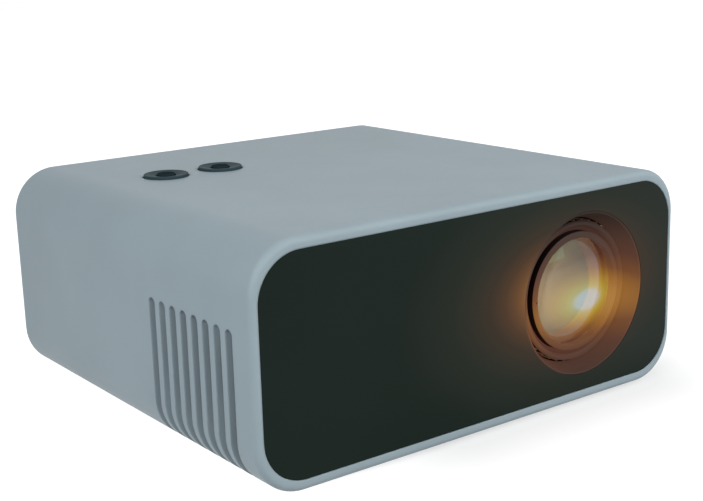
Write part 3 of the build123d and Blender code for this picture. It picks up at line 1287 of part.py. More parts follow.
def make_turntable():
    z0 = turntable_bottom()
    z1 = z0 + TURNTABLE_THICKNESS
    table = drive_rod_z(0, DISC_Y, z0, z1, TURNTABLE_R)
    table += drive_rod_z(0, DISC_Y, z1, z1 + DISC_HUB_HEIGHT, DISC_HUB_R)
    floor = DRIVE_SHEET + TRAY_FLOOR_GAP
    table += drive_rod_z(0, DISC_Y, floor + DRIVE_SHEET + FREE_GAP, z0, TURNTABLE_SHAFT_R)
    edge = table.edges().filter_by(GeomType.CIRCLE).sort_by(Axis.Z)[-1]
    return chamfer(edge, DRIVE_SHEET)


def sled_y():
    return DISC_Y - SLED_START


def make_pickup_sled():
    y = sled_y()
    half = SLED_LENGTH / 2
    sled = drive_block(-SLED_HALF_WIDTH, SLED_HALF_WIDTH, y - half, y + half, SLED_BOTTOM,
                       SLED_BOTTOM + SLED_HEIGHT)
    head_y = y - SLED_HEAD_OFFSET
    sled += drive_block(-SLED_HEAD_HALF, SLED_HEAD_HALF, head_y - SLED_HEAD_HALF,
                        head_y + SLED_HEAD_HALF, SLED_BOTTOM, SLED_HEAD_TOP)
    sled += drive_rod_z(0, head_y, SLED_HEAD_TOP, SLED_HEAD_TOP + SLED_LENS_HEIGHT, SLED_LENS_R)
    arm_end = SCREW_SPACING - LEAD_R - FREE_GAP
    sled += drive_block(SLED_HALF_WIDTH, arm_end, y - half / 2, y + half / 2, SLED_BOTTOM,
                        SLED_BOTTOM + SLED_HEIGHT)
    for side in (-1, 1):
        sled -= drive_rod_y(side * ROD_SPACING, y - half, y + half, ROD_HEIGHT, ROD_R + RUN_GAP)
    return sled


def make_guide_rods():
    y0 = TRAY_BACK_Y + TRAY_END_WALL - ROD_SOCKET
    y1 = rod_front_y() + ROD_BOSS_LENGTH
    return Compound([drive_rod_y(side * ROD_SPACING, y0, y1, ROD_HEIGHT, ROD_R) for side in (-1, 1)])


def sled_motor_y():
    return rod_front_y()


def make_lead_screw():
    y0 = TRAY_BACK_Y + TRAY_END_WALL - ROD_SOCKET + PANEL_GAP
    y1 = sled_motor_y() + 2 * ROD_SOCKET
    screw = drive_rod_y(SCREW_SPACING, y0, y1, ROD_HEIGHT, LEAD_R)
    y = y0 + 2 * LEAD_THREAD_STEP
    while y < sled_motor_y() - LEAD_THREAD_STEP:
        groove = drive_rod_y(SCREW_SPACING, y, y + LEAD_THREAD_STEP / 3, ROD_HEIGHT, LEAD_R)
        groove -= drive_rod_y(SCREW_SPACING, y, y + LEAD_THREAD_STEP / 3, ROD_HEIGHT,
                              LEAD_R - LEAD_THREAD_DEPTH)
        screw -= groove
        y += LEAD_THREAD_STEP
    return screw


def make_sled_motor():
    y0 = sled_motor_y()
    z0 = ROD_HEIGHT - LEAD_R - RUN_GAP - DRIVE_SHEET
    motor = drive_block(SCREW_SPACING - SLED_MOTOR_HALF, SCREW_SPACING + SLED_MOTOR_HALF, y0,
                        y0 + SLED_MOTOR_LENGTH, z0, TRAY_DECK_BOTTOM)
    return motor - drive_rod_y(SCREW_SPACING, y0, y0 + 2 * ROD_SOCKET + FREE_GAP, ROD_HEIGHT,
                               LEAD_R + RUN_GAP)


# ---------------------------------------------------------------- top control pieces
def spider_z():
    return PIVOT_Z - SPIDER_THICKNESS / 2, PIVOT_Z + SPIDER_THICKNESS / 2


def spider_bore_r():
    return KEY_SKIRT_R + SPIDER_GAP


def make_key_ring(x):
    """Dished ring; its skirt hangs between two pins along X, on which it rocks."""
    flange_top = CEILING_Z - KEY_FLANGE_DROP
    flange_bottom = flange_top - KEY_FLANGE_THICKNESS
    ring = turned_z([
        (KEY_BORE_R, PIVOT_Z - KEY_SKIRT_BELOW), (KEY_SKIRT_R, PIVOT_Z - KEY_SKIRT_BELOW),
        (KEY_SKIRT_R, flange_bottom), (KEY_FLANGE_R, flange_bottom), (KEY_FLANGE_R, flange_top),
        (KEY_R, flange_top), (KEY_R, KEY_TOP_Z), (KEY_R - KEY_EDGE_R, KEY_TOP_Z),
        (KEY_BORE_R, KEY_TOP_Z - KEY_DISH)], x, KEY_Y)
    rim = ring.edges().filter_by(GeomType.CIRCLE).group_by(Axis.Z)[-1].sort_by(SortBy.RADIUS)[-1]
    ring = fillet(rim, KEY_RIM_R)
    for side in (-1, 1):
        near = x + side * (KEY_SKIRT_R - KEY_PIN_R)
        far = x + side * (spider_bore_r() + KEY_PIN_LENGTH)
        ring += rod_x(min(near, far), max(near, far), KEY_Y, PIVOT_Z, KEY_PIN_R)
    return ring


def make_key_spider(x):
    """Tilting plate under a ring; its own pins along Y sit in the holder's lugs."""
    z0, z1 = spider_z()
    spider = rod_z(x, KEY_Y, z0, z1, SPIDER_R) - rod_z(x, KEY_Y, z0, z1, spider_bore_r())
    for side in (-1, 1):
        near = spider_bore_r() - 1
        far = spider_bore_r() + KEY_PIN_LENGTH + PANEL_GAP
        ends = (x + side * near, x + side * far)
        spider -= rod_x(min(ends), max(ends), KEY_Y, PIVOT_Z, KEY_PIN_R + RUN_GAP)
        ends = (KEY_Y + side * (SPIDER_R - KEY_PIN_R), KEY_Y + side * (lug_inner() + KEY_PIN_LENGTH))
        spider += rod_y(x, min(ends), max(ends), PIVOT_Z, KEY_PIN_R)
    return spider


def lug_inner():
    """Distance from a key's centre to the near face of the holder's lugs."""
    return SPIDER_R + FREE_GAP


def make_key_button(x):
    bottom = KEY_BOARD_TOP + SWITCH_HEIGHT + SWITCH_TIP_HEIGHT + BUTTON_TRAVEL + PANEL_GAP
    top = KEY_TOP_Z + BUTTON_RISE
    button = rod_z(x, KEY_Y, bottom, top, BUTTON_R)
    return fillet(button.edges().sort_by(Axis.Z)[-1], KEY_EDGE_R)


def make_key_holder():
    z0 = CEILING_Z - HOLDER_DROP
    z1 = z0 + HOLDER_THICKNESS
    x0 = KEY_MID_X - KEY_POST_X + BOSS_R + 2 * FREE_GAP
    x1 = KEY_MID_X + KEY_POST_X - BOSS_R - 2 * FREE_GAP
    half = HOLDER_HALF_DEPTH
    holder = block(x0, x1, KEY_Y - half, KEY_Y + half, z0, z1)
    for x in KEY_X:
        holder -= rod_z(x, KEY_Y, z0, z1, HOLDER_HOLE_R)
        for side in (-1, 1):
            ends = (KEY_Y + side * lug_inner(), KEY_Y + side * (lug_inner() + HOLDER_LUG_THICKNESS))
            holder += block(x - HOLDER_LUG_WIDTH / 2, x + HOLDER_LUG_WIDTH / 2, min(ends), max(ends),
                            z0, PIVOT_Z + HOLDER_LUG_RISE)
            holder -= rod_y(x, min(ends), max(ends), PIVOT_Z, KEY_PIN_R + RUN_GAP)
    leg = HOLDER_LUG_WIDTH
    for lx in (x0, KEY_MID_X - leg / 2, x1 - leg):
        for ly in (KEY_Y - half, KEY_Y + half - HOLDER_LUG_THICKNESS):
            holder += block(lx, lx + leg, ly, ly + HOLDER_LUG_THICKNESS, KEY_BOARD_TOP, z0)
    return holder


def switch_places():
    spots = []
    for x in KEY_X:
        spots.append((x, KEY_Y))
        for turn in range(4):
            angle = math.pi / 2 * turn
            spots.append((x + SWITCH_R * math.cos(angle), KEY_Y + SWITCH_R * math.sin(angle)))
    return spots


def make_key_board():
    board = block(KEY_MID_X - KEY_BOARD_HALF_WIDTH, KEY_MID_X + KEY_BOARD_HALF_WIDTH,
                  KEY_Y - KEY_BOARD_HALF_DEPTH, KEY_Y + KEY_BOARD_HALF_DEPTH,
                  KEY_BOARD_TOP - KEY_BOARD_THICKNESS, KEY_BOARD_TOP)
    half = SWITCH_SIZE / 2
    body_top = KEY_BOARD_TOP + SWITCH_HEIGHT
    for x, y in switch_places():
        board += block(x - half, x + half, y - half, y + half, KEY_BOARD_TOP, body_top)
        board += rod_z(x, y, body_top, body_top + SWITCH_TIP_HEIGHT, SWITCH_TIP_R)
    return board - pass_holes(key_screw_places(), KEY_BOARD_THICKNESS)


# ---------------------------------------------------------------- electronics
def on_board(x0, x1, y0, y1, height):
    return block(x0, x1, y0, y1, BOARD_TOP, BOARD_TOP + height)


def make_main_board():
    board = block(BOARD_LEFT, BOARD_RIGHT, BOARD_FRONT, BOARD_REAR, BOARD_BOTTOM, BOARD_TOP)
    # heat spreader on the processor, with its fins
    chip_x = BOARD_LEFT + CHIP_X
    chip_y = BOARD_FRONT + CHIP_Y
    half = CHIP_HALF
    board += on_board(chip_x - half, chip_x + half, chip_y - half, chip_y + half, SPREADER_HEIGHT)
    pitch = (2 * half - SPREADER_FIN_THICKNESS) / (SPREADER_FINS - 1)
    for i in range(SPREADER_FINS):
        x = chip_x - half + i * pitch
        board += on_board(x, x + SPREADER_FIN_THICKNESS, chip_y - half, chip_y + half,
                          SPREADER_FIN_TOP)
    # memory and capacitors
    x = BOARD_LEFT + MEMORY_X
    for inset in MEMORY_Y:
        y = BOARD_FRONT + inset
        board += on_board(x, x + MEMORY_WIDTH, y, y + MEMORY_DEPTH, MEMORY_HEIGHT)
    for i in range(CAPACITOR_COUNT):
        y = BOARD_FRONT + CAPACITOR_Y + i * CAPACITOR_PITCH
        board += rod_z(BOARD_LEFT + CAPACITOR_X, y, BOARD_TOP, BOARD_TOP + CAPACITOR_HEIGHT,
                       CAPACITOR_R)
    return board - pass_holes(board_screw_places(), BOARD_THICKNESS)


def port_block(x, width, height):
    return block(x - width / 2, x + width / 2, PORT_MOUTH_Y - PORT_DEPTH, PORT_MOUTH_Y, BOARD_TOP,
                 BOARD_TOP + height)


def port_hollow(x, width, height, wall, depth):
    half = width / 2 - wall
    return block(x - half, x + half, PORT_MOUTH_Y - depth, PORT_MOUTH_Y + 1, BOARD_TOP + wall,
                 BOARD_TOP + height - wall)


def port_tongue(x, width, z, thickness, mouth_depth):
    return block(x - width / 2, x + width / 2, PORT_MOUTH_Y - mouth_depth - PORT_TONGUE_ROOT,
                 PORT_MOUTH_Y - PORT_TONGUE_DROP, z, z + thickness)


def make_video_port():
    port = port_block(VIDEO_X, VIDEO_WIDTH, VIDEO_HEIGHT)
    port = chamfer(port.edges().filter_by(Axis.Y).group_by(Axis.Z)[0], VIDEO_BEVEL)
    mouth = port_hollow(VIDEO_X, VIDEO_WIDTH, VIDEO_HEIGHT, VIDEO_WALL, VIDEO_MOUTH_DEPTH)
    mouth = chamfer(mouth.edges().filter_by(Axis.Y).group_by(Axis.Z)[0], VIDEO_BEVEL)
    tongue_z = BOARD_TOP + (VIDEO_HEIGHT - VIDEO_TONGUE_THICKNESS) / 2
    return port - mouth + port_tongue(VIDEO_X, VIDEO_TONGUE_WIDTH, tongue_z,
                                      VIDEO_TONGUE_THICKNESS, VIDEO_MOUTH_DEPTH)


def make_data_port():
    port = port_block(DATA_X, DATA_WIDTH, DATA_HEIGHT)
    port -= port_hollow(DATA_X, DATA_WIDTH, DATA_HEIGHT, DATA_WALL, DATA_MOUTH_DEPTH)
    return port + port_tongue(DATA_X, DATA_WIDTH - 4 * DATA_WALL, BOARD_TOP + DATA_TONGUE_LIFT,
                              DATA_TONGUE_THICKNESS, DATA_MOUTH_DEPTH)


def make_audio_jacks():
    jacks = []
    for x in AUDIO_X:
        jack = port_block(x, AUDIO_WIDTH, AUDIO_HEIGHT)
        jacks.append(jack - rod_y(x, PORT_MOUTH_Y - AUDIO_BORE_DEPTH, PORT_MOUTH_Y,
                                  BOARD_TOP + AUDIO_HEIGHT / 2, AUDIO_BORE_R))
    return Compound(jacks)


def make_dc_inlet():
    inlet = port_block(DC_X, DC_WIDTH, DC_HEIGHT)
    z = BOARD_TOP + DC_HEIGHT / 2
    inlet -= rod_y(DC_X, PORT_MOUTH_Y - DC_BORE_DEPTH, PORT_MOUTH_Y, z, DC_BORE_R)
    return inlet + rod_y(DC_X, PORT_MOUTH_Y - PORT_DEPTH, PORT_MOUTH_Y - DC_PIN_DROP, z, DC_PIN_R)


# ---------------------------------------------------------------- loudspeaker
def speaker_y():
    return SLOTS_MID_Y


def speaker_back_x():
    return SPEAKER_X + SPEAKER_DEPTH


def make_speaker_frame():
    plate_end = SPEAKER_X + SPEAKER_PLATE_THICKNESS
    outline = Plane.YZ * RectangleRounded(SPEAKER_SIZE, SPEAKER_SIZE, SPEAKER_CORNER_R)
    plate = Pos(SPEAKER_X, speaker_y(), SPEAKER_Z) * extrude(outline, amount=SPEAKER_PLATE_THICKNESS)
    plate -= rod_x(SPEAKER_X, plate_end, speaker_y(), SPEAKER_Z, SPEAKER_HOLE_R)
    back = speaker_back_x()
    coil_hole = CONE_NECK_R + 2 * FREE_GAP
    collar_end = plate_end + SPEAKER_COLLAR
    basket = turned_x([
        (plate_end, SPEAKER_HOLE_R), (plate_end, SPEAKER_HOLE_R + SPEAKER_SHEET),
        (collar_end, SPEAKER_HOLE_R + SPEAKER_SHEET), (back, SPEAKER_BACK_R + SPEAKER_SHEET),
        (back, coil_hole), (back - SPEAKER_SHEET, coil_hole), (back - SPEAKER_SHEET, SPEAKER_BACK_R),
        (collar_end, SPEAKER_HOLE_R)], speaker_y(), SPEAKER_Z)
    return plate + basket


def make_speaker_cone():
    mouth = SPEAKER_X + CONE_FRONT_INSET
    neck = speaker_back_x() - SPEAKER_SHEET - CONE_TRAVEL - 2 * FREE_GAP
    cone = turned_x([
        (mouth, SPEAKER_CONE_R - CONE_SHEET), (mouth, SPEAKER_CONE_R),
        (mouth + CONE_SHEET, SPEAKER_CONE_R), (neck, CONE_NECK_R), (neck + COIL_LENGTH, CONE_NECK_R),
        (neck + COIL_LENGTH, CONE_NECK_R - COIL_WALL), (neck, CONE_NECK_R - COIL_WALL),
        (neck - CONE_SHEET, CONE_NECK_R - COIL_WALL)], speaker_y(), SPEAKER_Z)
    cap = turned_x([(neck - CONE_SHEET, 0), (neck - CONE_SHEET, CONE_NECK_R), (neck, CONE_NECK_R),
                    (neck, 0)], speaker_y(), SPEAKER_Z)
    return cone + cap


def make_speaker_magnet():
    x0 = speaker_back_x()
    x1 = x0 + MAGNET_THICKNESS
    magnet = rod_x(x0, x1, speaker_y(), SPEAKER_Z, MAGNET_R)
    neck = speaker_back_x() - SPEAKER_SHEET - CONE_TRAVEL - 2 * FREE_GAP
    slot_end = max(neck + COIL_LENGTH + CONE_TRAVEL + FREE_GAP, x0 + MAGNET_PLATE)
    gap_out = CONE_NECK_R + 2 * FREE_GAP
    gap_in = CONE_NECK_R - COIL_WALL - FREE_GAP
    slot = rod_x(x0, slot_end, speaker_y(), SPEAKER_Z, gap_out)
    slot -= rod_x(x0, slot_end, speaker_y(), SPEAKER_Z, gap_in)
    return magnet - slot


# ---------------------------------------------------------------- the whole object
def make_nodes():
    nodes = {
        "main_shell": make_main_shell(),
        "base_plate": make_base_plate(),
        "front_panel": make_front_panel(),
        "rear_panel": make_rear_panel(),
        "rubber_feet": make_rubber_feet(),
        "housing_screws": make_housing_screws(),
        "tripod_insert": make_tripod_insert(),
        "tilt_foot_pad": make_tilt_foot_pad(),
        "tilt_foot_screw": make_tilt_foot_screw(),
        "dust_filter": make_dust_filter(),
        "remote_receiver": make_receiver(),
        "lens_funnel": make_lens_funnel(),
        "lens_tube": make_lens_tube(),
        "focus_ring": make_focus_ring(),
        "lens_barrel": make_lens_barrel(),
        "lens_retainer": make_lens_retainer(),
        "front_lens": make_front_lens(),
        "middle_lens": make_middle_lens(),
        "rear_lens": make_rear_lens(),
        "engine_lower": make_engine_lower(),
        "engine_upper": make_engine_upper(),
        "field_lens_sheet": fresnel(FIELD_DEPTH, FIELD_THICKNESS, -1),
        "lcd_panel": pane(LCD_DEPTH, LCD_THICKNESS),
        "collimator_sheet": fresnel(COLLIMATOR_DEPTH, COLLIMATOR_THICKNESS, 1),
        "heat_glass": pane(HEAT_GLASS_DEPTH, HEAT_GLASS_THICKNESS),
        "condenser_lens": make_condenser_lens(),
        "led_module": make_led_module(),
        "heat_sink": make_heat_sink(),
        "fan_frame": make_fan_frame(),
        "fan_impeller": make_fan_impeller(),
        "drive_case": make_drive_case(),
        "drive_cover": make_drive_cover(),
        "disc_tray": make_disc_tray(),
        "tray_bezel": make_tray_bezel(),
        "eject_button": make_eject_button(),
        "tray_rail_left": make_tray_rail(-1),
        "tray_rail_right": make_tray_rail(1),
        "spindle_motor": make_spindle_motor(),
        "turntable": make_turntable(),
        "pickup_sled": make_pickup_sled(),
        "guide_rods": make_guide_rods(),
        "lead_screw": make_lead_screw(),
        "sled_motor": make_sled_motor(),
        "key_holder": make_key_holder(),
        "key_board": make_key_board(),
        "main_board": make_main_board(),
        "video_port": make_video_port(),
        "data_port": make_data_port(),
        "audio_jacks": make_audio_jacks(),
        "dc_inlet": make_dc_inlet(),
        "speaker_frame": make_speaker_frame(),
        "speaker_cone": make_speaker_cone(),
        "speaker_magnet": make_speaker_magnet(),
    }
    for name, x in zip(("navigation", "playback"), KEY_X):
        nodes[name + "_spider"] = make_key_spider(x)
        nodes[name + "_ring"] = make_key_ring(x)
        nodes[name + "_button"] = make_key_button(x)
    return nodes


def main():
    os.makedirs("parts", exist_ok=True)
    for name, shape in make_nodes().items():
        export_step(shape, f"parts/{name}.step")


if __name__ == "__main__":
    main()
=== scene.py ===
# %% [markdown]
# # A projector with a disc player
#
# The finished solids of the projector come in as a fixed frame: every housing part, lens, key and
# drive piece is already in its place and at its size. This lesson dresses them. It gives each one the
# surface of the real thing, models again the pieces that the eye rests on, and sets up a plain studio
# round the whole.

# %% Load the frame
import math
import bmesh
import bpy
from mathutils import Matrix, Vector


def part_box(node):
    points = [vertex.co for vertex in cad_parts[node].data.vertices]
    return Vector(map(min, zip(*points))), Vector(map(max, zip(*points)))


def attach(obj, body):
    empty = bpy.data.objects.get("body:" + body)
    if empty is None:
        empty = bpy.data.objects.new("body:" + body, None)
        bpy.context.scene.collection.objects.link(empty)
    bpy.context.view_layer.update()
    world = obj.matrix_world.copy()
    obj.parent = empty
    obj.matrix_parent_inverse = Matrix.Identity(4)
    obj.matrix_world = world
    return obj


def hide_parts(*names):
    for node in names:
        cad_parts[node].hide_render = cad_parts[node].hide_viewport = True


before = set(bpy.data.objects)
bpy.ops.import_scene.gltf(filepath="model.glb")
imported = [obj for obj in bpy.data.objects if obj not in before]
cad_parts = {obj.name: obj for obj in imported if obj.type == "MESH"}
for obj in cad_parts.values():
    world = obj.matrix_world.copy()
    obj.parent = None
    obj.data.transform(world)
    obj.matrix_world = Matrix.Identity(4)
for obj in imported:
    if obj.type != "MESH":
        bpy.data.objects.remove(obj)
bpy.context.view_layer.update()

MM = 0.001

# %% [markdown]
# ## The camera
#
# The view was worked out from the object's own straight edges: its corners were marked on the picture,
# and a box of the same proportions was turned until they met. That gives a turn, a rise, a slight roll
# and a distance, which is counted in widths of the body. Small steps to the right and up, counted the
# same way, put the object where it sits in the frame, so the lens needs no shift.

# %% Camera
BODY_WIDTH = 0.24
BODY_MIDDLE = Vector((0, 0, 53.75 * MM))
VIEW_TURN = math.radians(-36.4527)
VIEW_RISE = math.radians(13.6128)
VIEW_ROLL = math.radians(-1.6837)
VIEW_DISTANCE = 2.6587 * BODY_WIDTH
VIEW_RIGHT = 0.0292 * BODY_WIDTH
VIEW_UP = 0.0422 * BODY_WIDTH
FOCAL_LENGTH = 65.665
SENSOR_WIDTH = 36

back = Vector((math.sin(VIEW_TURN) * math.cos(VIEW_RISE), -math.cos(VIEW_TURN) * math.cos(VIEW_RISE),
               math.sin(VIEW_RISE)))
level = Vector((math.cos(VIEW_TURN), math.sin(VIEW_TURN), 0))
upward = back.cross(level)
right = level * math.cos(VIEW_ROLL) + upward * math.sin(VIEW_ROLL)
top = upward * math.cos(VIEW_ROLL) - level * math.sin(VIEW_ROLL)
eye = BODY_MIDDLE + back * VIEW_DISTANCE + right * VIEW_RIGHT + top * VIEW_UP

camera_data = bpy.data.cameras.new("camera")
camera_data.sensor_width = SENSOR_WIDTH
camera_data.lens = FOCAL_LENGTH
camera_data.clip_start = 10 * MM
camera = bpy.data.objects.new("camera", camera_data)
bpy.context.scene.collection.objects.link(camera)
camera.matrix_world = Matrix.Translation(eye) @ Matrix((right, top, back)).transposed().to_4x4()
bpy.context.scene.camera = camera
print("camera at", [round(v, 3) for v in eye])

# %% [markdown]
# ## Helpers for finishes
#
# A material is a small graph of nodes. A few helpers keep the graphs short to write. One makes a node
# and fills in its inputs. One reads noise in the object's own metres, so that a grain keeps its real
# size. One mixes two colours by that noise.

# %% Colours
def colour(red, green, blue):
    """A colour as a picture shows it, 0 to 255, turned into the light values that shaders take."""
    def light(v):
        v = v / 255
        return v / 12.92 if v <= 0.04045 else ((v + 0.055) / 1.055) ** 2.4
    return light(red), light(green), light(blue), 1.0


def shade(tone, factor):
    """The same colour, lighter or darker by a factor."""
    return tuple(min(1.0, c * factor) for c in tone[:3]) + (1.0,)


print("middle grey as light:", round(colour(128, 128, 128)[0], 3))

# %% Nodes
def set_inputs(node, settings):
    for socket, value in settings.items():
        node.inputs[socket].default_value = value


def add_node(nodes, kind, settings=None, operation=None):
    """A new node, with the values of its inputs by name or number, and its operation if it has one."""
    node = nodes.new("ShaderNode" + kind)
    if operation:
        node.operation = operation
    set_inputs(node, settings or {})
    return node


def new_finish(name):
    """A new material, with its nodes, its links and its main shader."""
    finish = bpy.data.materials.new(name)
    finish.use_nodes = True
    nodes, links = finish.node_tree.nodes, finish.node_tree.links
    return finish, nodes, links, nodes["Principled BSDF"]


def own_place(nodes):
    """Where a point lies on its object, in metres."""
    return add_node(nodes, "TexCoord").outputs["Object"]


print("node helpers ready")

# %% Noise
NOISE_LOW = 0.3
NOISE_HIGH = 0.7


def noise(nodes, links, place, scale, detail=3.0, rough=0.5):
    texture = add_node(nodes, "TexNoise", {"Scale": scale, "Detail": detail, "Roughness": rough})
    links.new(place, texture.inputs["Vector"])
    return texture.outputs["Fac"]


def spread(nodes, links, value, low, high):
    """Stretches the usual range of noise onto a range of numbers."""
    mapper = add_node(nodes, "MapRange", {
        "From Min": NOISE_LOW, "From Max": NOISE_HIGH, "To Min": low, "To Max": high})
    links.new(value, mapper.inputs["Value"])
    return mapper.outputs["Result"]


def two_tone(nodes, links, value, first, second):
    """Goes from the first colour to the second by a value from 0 to 1."""
    mixer = nodes.new("ShaderNodeMix")
    mixer.data_type = "RGBA"
    set_inputs(mixer, {"A": first, "B": second})
    links.new(value, mixer.inputs["Factor"])
    return mixer.outputs["Result"]


print("noise is read from", NOISE_LOW, "to", NOISE_HIGH)

# %% [markdown]
# ## Moulded plastic and rubber
#
# A plastic surface is never one flat colour. Under a lens it has a fine moulded grain, and over the
# whole part the shade drifts a little. A photograph of real plastic could be laid over the part, but
# noise has no seams and no end. One helper lays down this base, and each finish then sets its own
# colour, dullness and grain.

# %% Helper for moulded plastic
CLOUD_SCALE = 22.0
GRAIN_STRENGTH = 0.6


def moulded(name, tone, rough, grain, height=0.02, drift=0.06, coat=0.0, gloss=0.5, edge=0.0):
    """A drifting shade and a fine grain; height and edge, the rounding of edges, are in millimetres."""
    finish, nodes, links, surface = new_finish(name)
    place = own_place(nodes)
    cloud = spread(nodes, links, noise(nodes, links, place, CLOUD_SCALE), low=0, high=1)
    links.new(two_tone(nodes, links, cloud, shade(tone, 1 - drift), shade(tone, 1 + drift)),
              surface.inputs["Base Color"])
    fine = noise(nodes, links, place, grain, detail=2.0)
    links.new(spread(nodes, links, fine, low=rough * 0.9, high=rough * 1.1), surface.inputs["Roughness"])
    bump = add_node(nodes, "Bump", {"Distance": height * MM, "Strength": GRAIN_STRENGTH})
    links.new(fine, bump.inputs["Height"])
    if edge:
        rounding = add_node(nodes, "Bevel", {"Radius": edge * MM})
        links.new(rounding.outputs["Normal"], bump.inputs["Normal"])
    links.new(bump.outputs["Normal"], surface.inputs["Normal"])
    set_inputs(surface, {"Coat Weight": coat, "Specular IOR Level": gloss})
    return finish


print("plastic helper ready, clouds of about", round(1 / CLOUD_SCALE / MM), "mm")

# %% Moulded finishes
SHELL_TONE = colour(150, 166, 173)
shell_grain = moulded("shell_grain", SHELL_TONE, rough=0.5, grain=1500, height=0.025, drift=0.035,
                      gloss=0.35, edge=1.2)
base_grain = moulded("base_grain", SHELL_TONE, rough=0.56, grain=1300, height=0.03, drift=0.035,
                     gloss=0.3)
rear_grain = moulded("rear_grain", colour(44, 47, 48), rough=0.52, grain=900, height=0.04, gloss=0.35)
dull_black = moulded("dull_black", colour(36, 34, 33), rough=0.62, grain=1100, gloss=0.3)
soft_rubber = moulded("soft_rubber", colour(38, 39, 40), rough=0.82, grain=700, height=0.06, gloss=0.25)
foam = moulded("foam", colour(52, 54, 56), rough=0.95, grain=450, height=0.4, drift=0.25, gloss=0.1)
natural_grey = moulded("natural_grey", colour(150, 152, 150), rough=0.5, grain=1000)
paper_cone = moulded("paper_cone", colour(40, 40, 42), rough=0.85, grain=350, height=0.08, drift=0.15,
                     gloss=0.2)
receiver_red = moulded("receiver_red", colour(52, 12, 16), rough=0.12, grain=500, coat=0.6)
socket_black = moulded("socket_black", colour(28, 28, 29), rough=0.35, grain=1500)
key_gloss = moulded("key_gloss", colour(53, 70, 75), rough=0.5, grain=900, height=0.01, gloss=0.03)
button_gloss = moulded("button_gloss", colour(38, 52, 56), rough=0.5, grain=900, height=0.01, gloss=0.0)
print("moulded finishes ready")

# %% [markdown]
# ## Metals
#
# Zinc plate, extruded aluminium and rolled steel differ in their marks more than in their colour.
# Single scratches could be modelled, but they are far too many. So the marks are noise. On sheet,
# extruded and turned metal it is drawn out the way the roller, the die or the tool runs. On zinc plate
# it is even.

# %% Metals
def brushed(name, tone, rough, stretch):
    """A metal with fine marks; stretch is how dense they are along X, Y and Z."""
    finish, nodes, links, surface = new_finish(name)
    squeeze = add_node(nodes, "Mapping", {"Scale": stretch})
    links.new(own_place(nodes), squeeze.inputs["Vector"])
    marks = noise(nodes, links, squeeze.outputs["Vector"], scale=1.0, detail=4.0, rough=0.65)
    depth = spread(nodes, links, marks, low=0, high=1)
    links.new(two_tone(nodes, links, depth, shade(tone, 0.9), shade(tone, 1.08)),
              surface.inputs["Base Color"])
    links.new(spread(nodes, links, marks, low=rough * 0.8, high=rough * 1.25),
              surface.inputs["Roughness"])
    bump = add_node(nodes, "Bump", {"Distance": 0.01 * MM})
    links.new(marks, bump.inputs["Height"])
    links.new(bump.outputs["Normal"], surface.inputs["Normal"])
    set_inputs(surface, {"Metallic": 1.0})
    return finish


rolled_steel = brushed("rolled_steel", colour(188, 190, 192), rough=0.36, stretch=(60, 1800, 1800))
zinc_plate = brushed("zinc_plate", colour(196, 198, 196), rough=0.3, stretch=(900, 900, 900))
turned_brass = brushed("turned_brass", colour(206, 172, 98), rough=0.28, stretch=(200, 200, 3500))
extruded_aluminium = brushed("extruded_aluminium", colour(204, 206, 208), rough=0.4,
                             stretch=(2500, 80, 2500))
port_metal = brushed("port_metal", colour(190, 192, 194), rough=0.26, stretch=(1500, 120, 1500))
print("metals ready")

# %% [markdown]
# ## Circuit boards
#
# A board is green lacquer over copper. Its tracks could be drawn one by one, but the boards lie in the
# dark of the housing. So a brick pattern stands for them: it changes the shade of the lacquer a little
# and lifts it by a few hundredths of a millimetre.

# %% Circuit board
board_green, nodes, links, surface = new_finish("board_green")
tracks = add_node(nodes, "TexBrick", {
    "Scale": 420.0, "Mortar Size": 0.04, "Color1": colour(16, 74, 46), "Color2": colour(20, 84, 52),
    "Mortar": colour(40, 112, 70)})
links.new(own_place(nodes), tracks.inputs["Vector"])
links.new(tracks.outputs["Color"], surface.inputs["Base Color"])
bump = add_node(nodes, "Bump", {"Distance": 0.03 * MM})
links.new(tracks.outputs["Fac"], bump.inputs["Height"])
links.new(bump.outputs["Normal"], surface.inputs["Normal"])
set_inputs(surface, {"Roughness": 0.3})
print("board finish ready")

# %% [markdown]
# ## Glass and clear sheets
#
# A lens lets light in as well as out. A glass shader alone throws a dark shadow into the barrel,
# because few light paths find their way through it. The usual cure is to let shadow rays pass
# straight: the glass still bends what the eye sees, and the pieces behind it get their light.

# %% Glass
COATING_BEND = 1.38


def choose(nodes, links, factor, first, second):
    """Goes from the first shader to the second by a factor."""
    mixer = add_node(nodes, "MixShader")
    for socket, value in enumerate((factor, first, second)):
        links.new(value, mixer.inputs[socket])
    return mixer.outputs["Shader"]


def clear(name, tint, rough=0.0, bend=1.5, film=0.0):
    """Glass or plastic; bend is its refractive index and film its coating's thickness in nanometres."""
    finish, nodes, links, surface = new_finish(name)
    haze = noise(nodes, links, own_place(nodes), scale=60.0, detail=1.0)
    links.new(two_tone(nodes, links, haze, shade(tint, 0.97), tint), surface.inputs["Base Color"])
    set_inputs(surface, {"Roughness": rough, "Transmission Weight": 1.0, "IOR": bend,
                         "Thin Film Thickness": film, "Thin Film IOR": COATING_BEND})
    through = add_node(nodes, "BsdfTransparent", {"Color": tint})
    is_shadow = add_node(nodes, "LightPath").outputs["Is Shadow Ray"]
    shader = choose(nodes, links, is_shadow, surface.outputs["BSDF"], through.outputs["BSDF"])
    links.new(shader, nodes["Material Output"].inputs["Surface"])
    return finish


inner_glass = clear("inner_glass", colour(246, 246, 244))
clear_sheet = clear("clear_sheet", colour(236, 240, 240), rough=0.08, bend=1.49)
dark_display = clear("dark_display", colour(90, 92, 100), rough=0.1)
print("glass finishes ready")

